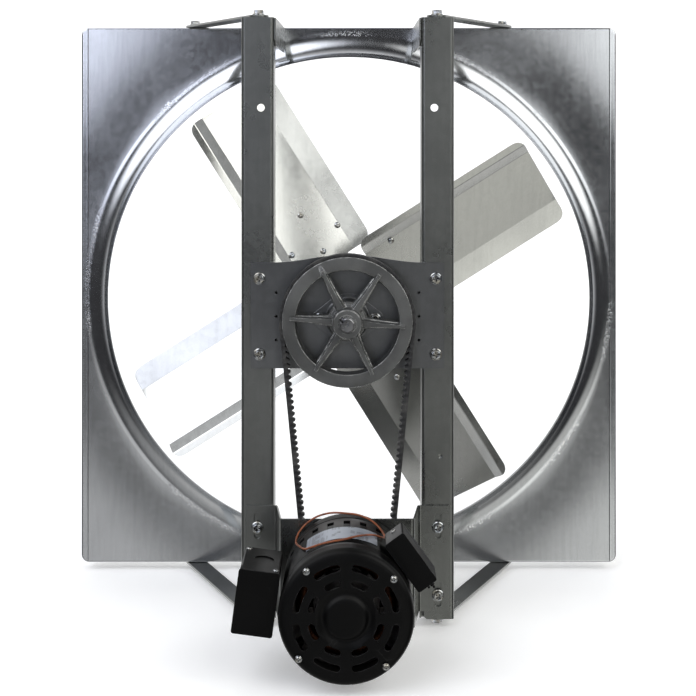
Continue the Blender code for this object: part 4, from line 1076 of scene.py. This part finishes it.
def build_fasteners():
    hex_head = hex_head_template()
    pan = pan_head_template(0.0030, 0.0022)
    small_pan = pan_head_template(0.0026, 0.0016)
    wide_nut = nut_template(0.0063, 0.0050, 0.0029)
    tie_nut = nut_template(0.0048, 0.0033, 0.0021)
    rng = random.Random(4)
    facing = [f"plate_bolt_{k}" for k in range(1, 5)] + [f"motor_mount_bolt_{k}" for k in range(1, 5)]
    for cad in facing:
        low, high = place_of(cad)
        spot = Vector(((low.x + high.x) / 2, low.y + HEAD_TALL, (low.z + high.z) / 2))
        shank = shifted(threaded(BOLT_R, -high.y, -spot.y), spot.x, 0, spot.z)
        finished(cad, merged([stamped(hex_head, spot, turn=rng.uniform(0, 1)), shank]))
        # The nut sits behind the rail's web.
        seat = (spot.x, -0.2217, spot.z)
        fitted(cad + "_nut", stamped(wide_nut, seat, (0, 1, 0)), BODY_OF[cad])
    for level in ("upper", "lower"):
        for side in ("left", "right"):
            cad = f"strap_bolt_{level}_{side}"
            low, high = place_of(cad)
            up = 1 if low.z > 0 else -1
            seat_z = high.z - HEAD_TALL if up > 0 else low.z + HEAD_TALL
            spot = Vector(((low.x + high.x) / 2, (low.y + high.y) / 2, seat_z))
            shank = as_mesh(threaded(BOLT_R, -0.018, 0))
            shapes = [stamped(shape, spot, (0, 0, up), 0.4 * up) for shape in (hex_head, shank)]
            bpy.data.meshes.remove(shank)
            finished(cad, merged(shapes))
            # The nut sits under the rail's folded end.
            seat = (spot.x, spot.y, up * (RAIL_HALF - RAIL_SHEET - 0.0005))
            fitted(cad + "_nut", stamped(wide_nut, seat, (0, 0, -up)), "frame")
            top = RAIL_HALF + STRAP_SHEET + 2 * GAP
            foot = Vector((math.copysign(STRAP_FOOT_X, spot.x), STRAP_FOOT_Y, up * top))
            fitted(f"strap_foot_bolt_{level}_{side}", stamped(hex_head, foot, (0, 0, up), 0.7), "frame")
    for k in range(1, 5):
        cad = f"motor_tie_bolt_{k}"
        low, high = place_of(cad)
        x, z = (low.x + high.x) / 2, (low.z + high.z) / 2
        shank = shifted(threaded(0.0022, -high.y, MOTOR_FRONT_AT), x, 0, z)
        head = stamped(pan, (x, -MOTOR_FRONT_AT, z), turn=0.5 * k)
        collar = stamped(tie_nut, (x, -0.2826, z), (0, 1, 0))
        finished(cad, merged([shank, head, collar]))
    return small_pan, wide_nut, hex_head


# ---------------------------------------------------------------- motor


BELL_R = 0.0705
SHELL_R = 0.0695
MOTOR_FRONT_AT = 0.442
MOTOR_BACK_AT = 0.2853
BELL_DEPTH = 0.024
TIE_R = 0.0635
TIE_ANGLES = (40, 130, 220, 310)


def vent(radius, width, middle, reach):
    """A curved slot in the motor's face with round ends, reach degrees to each side of its middle."""
    centre = (0, MOTOR_Z)
    half = width / 2
    tilt = math.degrees(half / radius)
    start, end = middle - reach + tilt, middle + reach - tilt

    def round_end(angle, turn):
        turned_to = math.radians(angle)
        spot = (radius * math.cos(turned_to), MOTOR_Z + radius * math.sin(turned_to))
        return arc(spot, half, angle + turn, angle + turn + 180, 8)[1:-1]

    outer = arc(centre, radius + half, start, end, 12)
    inner = arc(centre, radius - half, end, start, 12)
    return outer + round_end(end, 0) + inner + round_end(start, 180)


def bell(cad, face_at, inward, radius, closed, vents):
    """Pressed end cover: dished face, rolled rim, raised boss and curved vents."""
    deep = BELL_DEPTH
    skin_line = [(0.0, 0.0), (0.0165, 0.0), (0.0195, 0.0004), (0.0210, 0.0012), (0.0225, 0.0030),
                 (0.0245, 0.0036), (0.0265, 0.0032), (0.0290, 0.0018), (0.0320, 0.0012)]
    if not closed:
        skin_line = [(0.0142, 0.0), (0.0195, 0.0), (0.0215, 0.0010), (0.0235, 0.0016)]
    skin_line += [(radius - 0.0135, 0.0012), (radius - 0.0115, 0.0016), (radius - 0.0080, 0.0018),
                  (radius - 0.0050, 0.0024), (radius - 0.0026, 0.0036), (radius - 0.0010, 0.0056),
                  (radius - 0.0002, 0.0080), (radius, 0.0105), (radius, deep - 0.0005),
                  (radius - 0.0005, deep), (radius - 0.0016, deep), (radius - 0.0020, deep - 0.0005)]
    back = [(radius - 0.0020, 0.0110), (radius - 0.0040, 0.0062), (radius - 0.0080, 0.0040),
            (radius - 0.0140, 0.0034), (0.0320, 0.0034), (0.0210, 0.0052), (0.0200, 0.0180), (0.0142, 0.0180)]
    if closed:
        back += [(0.0142, 0.0022), (0.0, 0.0022)]
    profile = [(r, face_at + inward * at) for r, at in skin_line + back]
    obj = finished(cad, turned(profile, 128, (0, MOTOR_Z)), 50)
    reach = sorted((-(face_at - inward * 0.01), -(face_at + inward * 0.0066)))
    cut(obj, [prism(line, "Y", *reach) for line in vents], 50)
    soften(obj, 0.0005, 2, 45, 50)


def build_motor():
    front = [vent(0.0365, 0.0072, 22.5 + 45 * k, 14) for k in range(8)]
    front += [vent(0.0520, 0.0074, 22.5 + 45 * k, 16) for k in range(8)]
    bell("motor_end_bell_front", MOTOR_FRONT_AT, -1, BELL_R, True, front)
    bell("motor_end_bell_rear", MOTOR_BACK_AT, 1, BELL_R - 0.0015, False,
         [vent(0.0430, 0.0090, 45 * k, 13) for k in range(8)])
    shell = [(SHELL_R, 0.3098), (SHELL_R, 0.3104)]
    groove, bore = SHELL_R - 0.0004, SHELL_R - 0.0016
    for near in (0.3140, 0.4080):
        shell += [(SHELL_R, near), (groove, near + 0.0006), (groove, near + 0.0016), (SHELL_R, near + 0.0022)]
    shell += [(SHELL_R, 0.4174), (bore, 0.4174), (bore, 0.3098)]
    case = finished("motor_shell", turned(shell, 192, (0, MOTOR_Z)), 40)
    # Windows round the rear of the shell, where the cooling air leaves.
    windows = []
    outline = rounded_rectangle(-0.3385, -0.3265, -0.0037, 0.0037, 0.0014, 5)
    for k in range(24):
        window = prism(outline, "X", 0.060, 0.080)
        windows.append(shifted(spun(window, math.radians(15 * k)), z=MOTOR_Z))
    cut(case, windows, 40)
    build_windings()
    build_cooling_fan()
    shaft = [(0, 0.2380), (0.0052, 0.2380), (0.0062, 0.2387), (0.00635, 0.2394)]
    shaft += [(0.00635, 0.4390), (0, 0.4390)]
    finished("motor_shaft", turned(shaft, 48, (0, MOTOR_Z)), 40)
    for cad in ("motor_stator", "motor_rotor_core", "motor_bearing_front", "motor_bearing_rear"):
        refine(cad, 0.0004)


def build_windings():
    """Coil ends wound as bundles, with laced cord, and the straight sides in the slots."""
    obj = finished("motor_winding", coil_ring(0.390 + 0.0004, 1), 50)
    bars = []
    for k in range(6):
        bar = box(0.041, 0.0495, 0.333, 0.392, -0.0028, 0.0028)
        bars.append(shifted(spun(bar, math.tau * k / 6), z=MOTOR_Z))
    weld(obj, [coil_ring(0.3346, -1)] + bars, 50)


def coil_ring(start, way):
    rings = []
    count = 144
    for i in range(count):
        angle = math.tau * i / count
        swell = 1 + 0.07 * math.sin(18 * angle) + 0.03 * math.sin(47 * angle + 1)
        ring = []
        for px, pa in arc((0, 0), 1.0, 0, 360, 16)[:-1]:
            radius = 0.0468 + 0.0066 * px * swell
            at = 0.0064 + 0.0064 * pa * swell
            ring.append((radius * math.cos(angle), -(start + way * at), MOTOR_Z + radius * math.sin(angle)))
        rings.append(ring)
    return skin(rings)


def build_cooling_fan():
    bore = 0.00665
    hub = turned([(bore, 0.398), (0.0108, 0.398), (0.011, 0.4065), (0.034, 0.4065), (0.0342, 0.4073),
                  (0.034, 0.408), (bore, 0.408)], 96, (0, MOTOR_Z))
    obj = finished("motor_cooling_fan", hub, 45)
    vanes = []
    for k in range(8):
        rings = []
        for i in range(7):
            r = 0.016 + 0.0175 * i / 6
            bend = 0.0022 * math.sin(math.pi * i / 6)
            rings.append([(r, -0.4075, bend - 0.0007), (r, -0.4075, bend + 0.0007),
                          (r, -0.4170, bend + 0.0006), (r, -0.4170, bend - 0.0006)])
        vanes.append(shifted(spun(capped(rings), math.tau * k / 8), z=MOTOR_Z))
    weld(obj, vanes, 45)


# ---------------------------------------------------------------- drive frame


RAIL_X = 0.105
RAIL_FRONT = 0.224
RAIL_DEPTH = 0.038
RAIL_WIDTH = 0.038
RAIL_HALF = 0.3505
RAIL_SHEET = 0.002
PLATE_BOLTS = ((0.1025, 0.0465), (0.1025, -0.0415))
MOUNT_BOLTS = ((0.105, -0.243), (0.105, -0.322))
STRAP_HEAD_Y = -0.205
STRAP_FOOT_X = 0.2025
STRAP_FOOT_Y = 0.012
STRAP_SHEET = 0.003
STRAP_END_R = 0.012
PLATE_SHEET = 0.003
LUG_X = 0.03175


def build_rail(side):
    """Channel with rounded bends, folded ends, a clipped lower corner and its holes."""
    cad = "rail_left" if side < 0 else "rail_right"
    reach = RAIL_WIDTH / 2 - RAIL_SHEET / 2
    web = RAIL_FRONT - RAIL_SHEET / 2
    back = RAIL_FRONT - RAIL_DEPTH
    middle = side * RAIL_X
    line = [(middle - reach, -back), (middle - reach, -web), (middle + reach, -web), (middle + reach, -back)]
    section = folded(rounded(line, 0.0032, 7), RAIL_SHEET)
    obj = finished(cad, prism(section, "Z", -RAIL_HALF, RAIL_HALF), 35)
    ends = []
    for end in (-1, 1):
        low, high = sorted((end * (RAIL_HALF - RAIL_SHEET), end * RAIL_HALF))
        ends.append(box(middle - reach, middle + reach, back, web, low, high))
    weld(obj, ends, 35)
    holes = [rod(0.0045, 0.2, 0.24, side * 0.101, 0.245, 40)]
    holes += [rod(BOLT_HOLE_R, 0.2, 0.24, side * x, z) for x, z in PLATE_BOLTS + MOUNT_BOLTS]
    for end in (-RAIL_HALF, RAIL_HALF):
        holes.append(rod_up(BOLT_HOLE_R, end - 0.01, end + 0.01, middle, STRAP_HEAD_Y))
    inner = side * (RAIL_X - RAIL_WIDTH / 2)
    past, along = inner - side * 0.001, inner + side * 0.0075
    corner = [(past, -0.352), (along, -0.352), (past, -0.3440)]
    holes.append(prism(corner, "Y", -0.23, -0.215))
    cut(obj, holes, 35)
    if side > 0:
        dent = [(0, 0.2231), (0.0022, 0.2234), (0.0034, 0.2241), (0.0034, 0.226), (0, 0.226)]
        cut(obj, [turned(dent, 28, (0.108, -0.161))], 35)
    soften(obj, 0.00035, 2, 40, 40)


def corner_name(side, level):
    return f"{'upper' if level > 0 else 'lower'}_{'left' if side < 0 else 'right'}"


def build_strap(side, level):
    cad = f"strap_{corner_name(side, level)}"
    foot = Vector((side * STRAP_FOOT_X, STRAP_FOOT_Y))
    head = Vector((side * RAIL_X, STRAP_HEAD_Y))
    along = (head - foot).normalized()
    heading = math.degrees(math.atan2(along.y, along.x))
    outline = arc(head, STRAP_END_R, heading - 90, heading + 90, 20)
    outline += arc(foot, STRAP_END_R, heading + 90, heading + 270, 20)
    seat = RAIL_HALF + GAP
    levels = sorted((level * seat, level * (seat + STRAP_SHEET)))
    obj = finished(cad, prism(outline, "Z", *levels))
    reach = (levels[0] - 0.01, levels[1] + 0.01)
    cut(obj, [rod_up(BOLT_HOLE_R, *reach, *spot) for spot in (head, foot)])
    soften(obj, 0.0005, 2, 40)


def build_bearing_plate(cad, near, low, high, hump):
    """Cross plate with a hump over the bearing, its edges slightly rounded."""
    outline = [(0.1125, low), (0.1125, high)]
    for i in range(25 if hump else 0):
        x = 0.088 - 0.176 * i / 24
        outline.append((x, high + hump * math.sin(math.pi * (0.088 - abs(x)) / 0.176) ** 2))
    outline += [(-0.1125, high), (-0.1125, low)]
    obj = finished(cad, prism(outline, "Y", -near - PLATE_SHEET, -near))
    holes = [rod(0.015, near - 0.01, near + 0.01, steps=64)]
    holes += [rod(BOLT_HOLE_R, near - 0.01, near + 0.01, s * LUG_X) for s in (-1, 1)]
    if hump:
        for side in (-1, 1):
            holes += [rod(BOLT_HOLE_R, near - 0.01, near + 0.01, side * x, z) for x, z in PLATE_BOLTS]
            for z in (0.030, 0.0025, -0.025):
                holes.append(rod(0.0017, near - 0.01, near + 0.01, side * 0.083, z, 16))
    cut(obj, holes)
    soften(obj, 0.0004, 2, 40)


def build_flangette(cad, face_at, outward, hex_head, wide_nut):
    """Pressed two-bolt bearing flange, with its bolts, nuts and ball bearing seal."""
    lug, half_z = 0.010, 0.0295
    outline = []
    lean = math.degrees(math.acos((half_z - lug) / LUG_X))
    for start, sign in ((0, 1), (180, -1)):
        outline += arc((sign * LUG_X, 0), lug, start - lean, start + lean, 14)
        outline += arc((0, 0), half_z, start + lean, start + 180 - lean, 22)
    levels = sorted((-face_at, -(face_at + outward * PLATE_SHEET)))
    obj = finished(cad, prism(outline, "Y", *levels), 40)
    dome = [(0.0170, 0.0005), (0.0170, 0.0120), (0.0174, 0.0126), (0.0182, 0.0130), (0.0196, 0.0129),
            (0.0208, 0.0124), (0.0216, 0.0114), (0.0226, 0.0084), (0.0236, 0.0052), (0.0246, 0.0036),
            (0.0262, 0.0029), (0.0262, 0.0005)]
    weld(obj, [turned([(r, face_at + outward * at) for r, at in dome], 96)], 40)
    near = face_at - 0.02
    far = near + 0.04
    holes = [rod(BOLT_HOLE_R, near, far, s * LUG_X) for s in (-1, 1)]
    cut(obj, holes + [rod(0.0170, near, far, steps=96)], 40)
    soften(obj, 0.0005, 2, 35, 45)
    for sign in (-1, 1):
        name = f"{cad}_bolt_{'left' if sign < 0 else 'right'}"
        spot = (sign * LUG_X, -(face_at + outward * PLATE_SHEET), 0)
        ends = sorted((face_at + outward * PLATE_SHEET, face_at - outward * 0.0115))
        shank = shifted(threaded(BOLT_R, *ends), spot[0])
        fitted(name, merged([stamped(hex_head, spot, (0, -outward, 0), 0.3), shank]), "frame")
        spot = (sign * LUG_X, -(face_at - outward * (PLATE_SHEET + 2 * GAP)), 0)
        fitted(name + "_nut", stamped(wide_nut, spot, (0, outward, 0)), "frame")


def build_insert(cad, face_at, outward, collar):
    """Inner ring of the ball bearing: seal, ring and locking collar with its set screws."""
    start, end = collar
    line = [(0.0082, 0.0012), (0.0166, 0.0012), (0.0166, 0.0102), (0.0158, 0.0106), (0.0150, 0.0102),
            (0.0128, 0.0102), (0.0124, 0.0120), (0.0120, start), (0.0139, start), (0.0145, start + 0.0005),
            (0.0145, end - 0.0006), (0.0139, end), (0.0086, end), (0.0082, end - 0.0004)]
    line = [(r, face_at + outward * at) for r, at in line]
    obj = finished(cad, turned(line, 96), 35)
    if end - start > 0.008:
        middle = face_at + outward * (start + end) / 2
        hole = prism(circle(0.0024, 20, (0.0, -middle)), "Z", 0.009, 0.02)
        cut(obj, [spun(hole, math.radians(20))], 35)


def build_shaft():
    profile = [(0, -0.0300), (0.0069, -0.0300), (0.0076, -0.0296), (0.0079, -0.0288), (0.0079375, 0.2838),
               (0.0076, 0.2846), (0.0069, 0.2850), (0.0021, 0.2850), (0.0006, 0.2834), (0, 0.2832)]
    obj = finished("fan_shaft", turned(profile, 72), 18)
    cut(obj, [spun(box(-0.0024, 0.0024, 0.246, 0.29, 0.0052, 0.02), KEY_TURN)], 18)
    refine("pulley_key", 0.0003, 35)


def build_bracket():
    """Hat-section motor bracket with rounded bends and slotted tabs."""
    tab, web = RAIL_FRONT + GAP + RAIL_SHEET / 2, 0.284
    half = [(0.118, -tab), (0.0822, -tab), (0.0750, -web)]
    radii = [0, 0.0035, 0.0035, 0.0035, 0.0035, 0]
    line = rounded(half + [(-x, y) for x, y in reversed(half)], radii, 7)
    sheet = prism(folded(line, RAIL_SHEET), "Z", -0.3405, -0.2175)
    obj = finished("motor_bracket", sheet, 35)
    holes = [rod(0.020, 0.27, 0.30, 0, MOTOR_Z, 64)]
    for side in (-1, 1):
        for x, z in MOUNT_BOLTS:
            slot = stadium(side * x, z - 0.013, z + 0.017, 0.00365, 14)
            holes.append(prism(slot, "Y", -0.235, -0.215))
    for angle in map(math.radians, TIE_ANGLES):
        x, z = TIE_R * math.cos(angle), MOTOR_Z + TIE_R * math.sin(angle)
        holes.append(rod(0.0028, 0.27, 0.30, x, z, 20))
    cut(obj, holes, 35)
    soften(obj, 0.0004, 2, 40, 40)


# ---------------------------------------------------------------- propeller


BLADE_LINE = ((-0.066, -0.0087), (-0.0385, -0.0048), (0.037, 0.0288), (0.048, 0.0429), (0.0565, 0.0460))
BLADE_PITCH = math.radians(24)
BLADE_SHEET = 0.0015
ARM_SHEET = 0.0036
RIVET_SPOTS = ((0.0672, -0.003), (0.1227, -0.003), (0.0855, -0.036), (0.0855, 0.033))


def blade_at(across):
    for (n0, at0), (n1, at1) in zip(BLADE_LINE, BLADE_LINE[1:]):
        if across <= n1:
            return at0 + (at1 - at0) * (across - n0) / (n1 - n0)
    return BLADE_LINE[-1][1]


def build_blade(index, rivet):
    """Folded blade with small bend radii and rounded corners, and its four rivets."""
    cad = f"blade_{index + 1}"
    angle = BLADE_TURN + math.tau * index / 4
    line = rounded(BLADE_LINE, [0, 0.004, 0.003, 0.003, 0], 5)
    section = [(y, z) for z, y in folded([(z, -at) for z, at in line], BLADE_SHEET)]
    obj = finished(cad, spun(prism(section, "X", 0.047, 0.298, 6), angle), 20)
    face = rounded_rectangle(0.048, 0.297, -0.066, 0.0565, 0.016, 12)
    boolean(obj, [spun(prism(face, "Y", -0.09, 0.06), angle)], "INTERSECT", 20)
    soften(obj, 0.0003, 2, 50, 20)
    heads = []
    for along, across in RIVET_SPOTS:
        lift = BLADE_SHEET / 2 / math.cos(BLADE_PITCH)
        spot = (along, -(blade_at(across) + lift), across)
        aim = (0, -math.cos(BLADE_PITCH), -math.sin(BLADE_PITCH))
        heads.append(spun(stamped(rivet, spot, aim), angle))
        # The rivet's tail, upset against the arm behind the blade.
        tail = (along, -(blade_at(across) - lift - ARM_SHEET), across)
        heads.append(spun(stamped(rivet, tail, tuple(-part for part in aim)), angle))
    fitted(cad + "_rivets", merged(heads), "fan_rotor")


# ---------------------------------------------------------------- boxes, label and lead


BOX_MIDDLE = (-0.0945, -0.271)
BOX_LEAN = math.radians(7.5)


def leaned(bm):
    return spun(bm, -BOX_LEAN, BOX_MIDDLE)


def build_junction_box(screw):
    """Folded sheet box with a knockout, and a cover whose flanges wrap over its top and bottom."""
    (x, z), (width, tall) = BOX_MIDDLE, (0.042, 0.066)
    x0, x1, z0, z1 = x - width / 2, x + width / 2, z - tall / 2, z + tall / 2
    near, far, wall = 0.330, 0.413, 0.0014
    shell = prism(rounded_rectangle(x0, x1, z0, z1, 0.0026, 8), "Y", -far, -near)
    obj = finished("junction_box", leaned(shell), 40)
    inside = rounded_rectangle(x0 + wall, x1 - wall, z0 + wall, z1 - wall, 0.0014, 5)
    inside = prism(inside, "Y", -far - 0.01, -near - wall)
    knockout = rod_up(0.0105, z1 - 0.01, z1 + 0.01, x + 0.002, -0.366, 48)
    cut(obj, [leaned(inside), leaned(knockout)], 40)
    soften(obj, 0.0003, 2, 45, 40)
    lip, front = 0.0008, far + GAP + wall
    lid = rounded_rectangle(x0 - lip, x1 + lip, z0 - lip, z1 + lip, 0.0030, 8)
    lid = prism(lid, "Y", -front, -(far + GAP))
    cover = finished("junction_box_cover", leaned(lid), 40)
    flanges = []
    for edge in (z1 + 0.00005, z0 - 0.00105):
        flange = box(x0 + 0.001, x1 - 0.001, far - 0.011, front - wall / 2, edge, edge + 0.0010)
        flanges.append(leaned(flange))
    weld(cover, flanges, 40)
    soften(cover, 0.0005, 3, 40, 40)
    up = (math.sin(BOX_LEAN), 0, math.cos(BOX_LEAN))
    for name, dx, at in (("rear", -0.016, near + 0.007), ("front", 0.0165, far - 0.0055)):
        height = z1 + (0.0011 if name == "front" else 0.0)
        seat = Vector((x + dx, -at, height)) - Vector((x, 0, z))
        seat = Matrix.Rotation(BOX_LEAN, 3, "Y") @ seat + Vector((x, 0, z))
        fitted(f"junction_box_screw_{name}", stamped(screw, seat, up, 0.6), "motor_mount")


CAP_TURN = math.radians(36)


def on_motor(bm):
    return shifted(spun(bm, CAP_TURN), z=MOTOR_Z)


def build_capacitor(screw):
    """Drawn cover with generous corners, a seam, a fixing screw and two terminals."""
    inner, outer, half, near, far, wall = 0.0712, 0.0952, 0.0305, 0.372, 0.413, 0.0014
    shell = prism(rounded_rectangle(inner, outer, -half, half, 0.0030, 8), "Y", -far, -near)
    obj = finished("capacitor_cover", on_motor(shell), 40)
    inside = box(inner - 0.01, outer - wall, near + wall, far - wall, -half + wall, half - wall)
    cut(obj, [on_motor(inside)], 40)
    grooves = []
    for seam in (near + 0.009, near + 0.0125):
        groove = box(outer - 0.0004, outer + 0.002, seam, seam + 0.0006, -half - 0.01, half + 0.01)
        grooves.append(on_motor(groove))
    cut(obj, grooves, 40)
    soften(obj, 0.0012, 4, 50, 50)
    seat = on_point((inner + outer) / 2, near + 0.012, half)
    aim = (-math.sin(CAP_TURN), 0, math.cos(CAP_TURN))
    fitted("capacitor_cover_screw", stamped(screw, seat, aim, 0.4), "motor_mount")
    can = [(0, -0.024), (0.0088, -0.024), (0.0095, -0.0233), (0.0095, 0.0253), (0.0088, 0.026), (0, 0.026)]
    upright = turned_up(can, 64, (0.0835, -0.3925))
    finished("motor_capacitor", on_motor(upright), 40)
    down = tuple(-part for part in aim)
    post = [(0, -0.002), (0.0017, -0.002), (0.0017, 0.0022), (0.0024, 0.0024), (0.0024, 0.0048),
            (0.0013, 0.0052), (0.0013, 0.0080), (0, 0.0083)]
    terminal = as_mesh(turned(post, 20))
    for i, offset in enumerate((-0.005, 0.005)):
        spot = on_point(0.0832 + offset * 0.6, 0.396 + offset, -half)
        post = stamped(terminal, spot, down)
        piece(f"capacitor_terminal_{i + 1}", post, LOOKS["black_paint"], "motor_mount")
    bpy.data.meshes.remove(terminal)


def on_point(radial, at, tangential):
    out = Vector((math.cos(CAP_TURN), 0, math.sin(CAP_TURN)))
    along = Vector((-math.sin(CAP_TURN), 0, math.cos(CAP_TURN)))
    return out * radial + along * tangential + Vector((0, -at, MOTOR_Z))


def build_label():
    """Foil label, laid round the shell in fine steps."""
    rings = []
    steps, start, sweep = 40, 62.5, 65
    for i in range(steps + 1):
        angle = math.radians(start + sweep * i / steps)
        ring = []
        for radius, at in ((0.0698, 0.353), (0.0702, 0.353), (0.0702, 0.396), (0.0698, 0.396)):
            ring.append((radius * math.cos(angle), -at, MOTOR_Z + radius * math.sin(angle)))
        rings.append(ring)
    finished("motor_nameplate", capped(rings), 30)


# The lead's knots over the motor, in millimetres: across, and from the panel's front face.
LEAD_SPOTS = ((-2, 307), (-22, 295), (-40, 289), (-53, 297), (-56, 325), (-51, 362), (-42, 398), (-24, 411),
              (-4, 411), (14, 392), (28, 374), (40, 362), (38, 340), (28, 320), (14, 311))


LEAD_STEPS = 14


def build_lead():
    """Insulated lead: a smooth closed curve over the motor, swept with a round section."""
    radius, lift = 0.0011, 0.0727
    knots = [Vector((x / 1000, at / 1000)) for x, at in LEAD_SPOTS]
    count = len(knots)
    path = []
    for i in range(count):
        p0, p1, p2, p3 = (knots[(i + k - 1) % count] for k in range(4))
        second, third = 2 * p0 - 5 * p1 + 4 * p2 - p3, 3 * p1 - p0 - 3 * p2 + p3
        for step in range(LEAD_STEPS):
            t = step / LEAD_STEPS
            spot = 0.5 * (2 * p1 + (p2 - p0) * t + second * t**2 + third * t**3)
            path.append(Vector((spot.x, -spot.y, MOTOR_Z + math.sqrt(lift**2 - spot.x**2))))
    rings = []
    for i, point in enumerate(path):
        along = (path[(i + 1) % len(path)] - path[i - 1]).normalized()
        outward = (point - Vector((0, point.y, MOTOR_Z))).normalized()
        across = along.cross(outward).normalized()
        rings.append([tuple(point + across * a + outward * b) for a, b in circle(radius, 16)])
    finished("motor_lead", skin(rings), 60)


def build_frame(hex_head, wide_nut):
    for side in (-1, 1):
        build_rail(side)
        for level in (-1, 1):
            build_strap(side, level)
            refine(f"standoff_{corner_name(side, level)}", 0.0005)
    build_bearing_plate("bearing_plate_front", RAIL_FRONT + GAP, -0.058, 0.065, 0.009)
    rear = RAIL_FRONT - RAIL_DEPTH - GAP
    build_bearing_plate("bearing_plate_rear", rear - PLATE_SHEET, -0.042, 0.042, 0)
    front_face = RAIL_FRONT + PLATE_SHEET + 2 * GAP
    rear_face = rear - PLATE_SHEET - GAP
    build_flangette("bearing_housing_front", front_face, 1, hex_head, wide_nut)
    build_flangette("bearing_housing_rear", rear_face, -1, hex_head, wide_nut)
    build_insert("bearing_insert_front", front_face, 1, (0.014, 0.0175))
    build_insert("bearing_insert_rear", rear_face, -1, (0.014, 0.026))


def main():
    finish_cad_nodes()
    build_world()
    build_floor()
    build_camera()
    bpy.context.scene.view_settings.view_transform = "Standard"
    build_panel()
    build_belt()
    build_fan_pulley()
    build_motor_pulley()
    screw, wide_nut, hex_head = build_fasteners()
    build_frame(hex_head, wide_nut)
    build_shaft()
    build_bracket()
    rivet = rivet_template()
    for index in range(4):
        build_blade(index, rivet)
    refine("blade_hub", 0.0008, 45)
    build_motor()
    build_junction_box(screw)
    build_capacitor(screw)
    build_label()
    build_lead()


main()
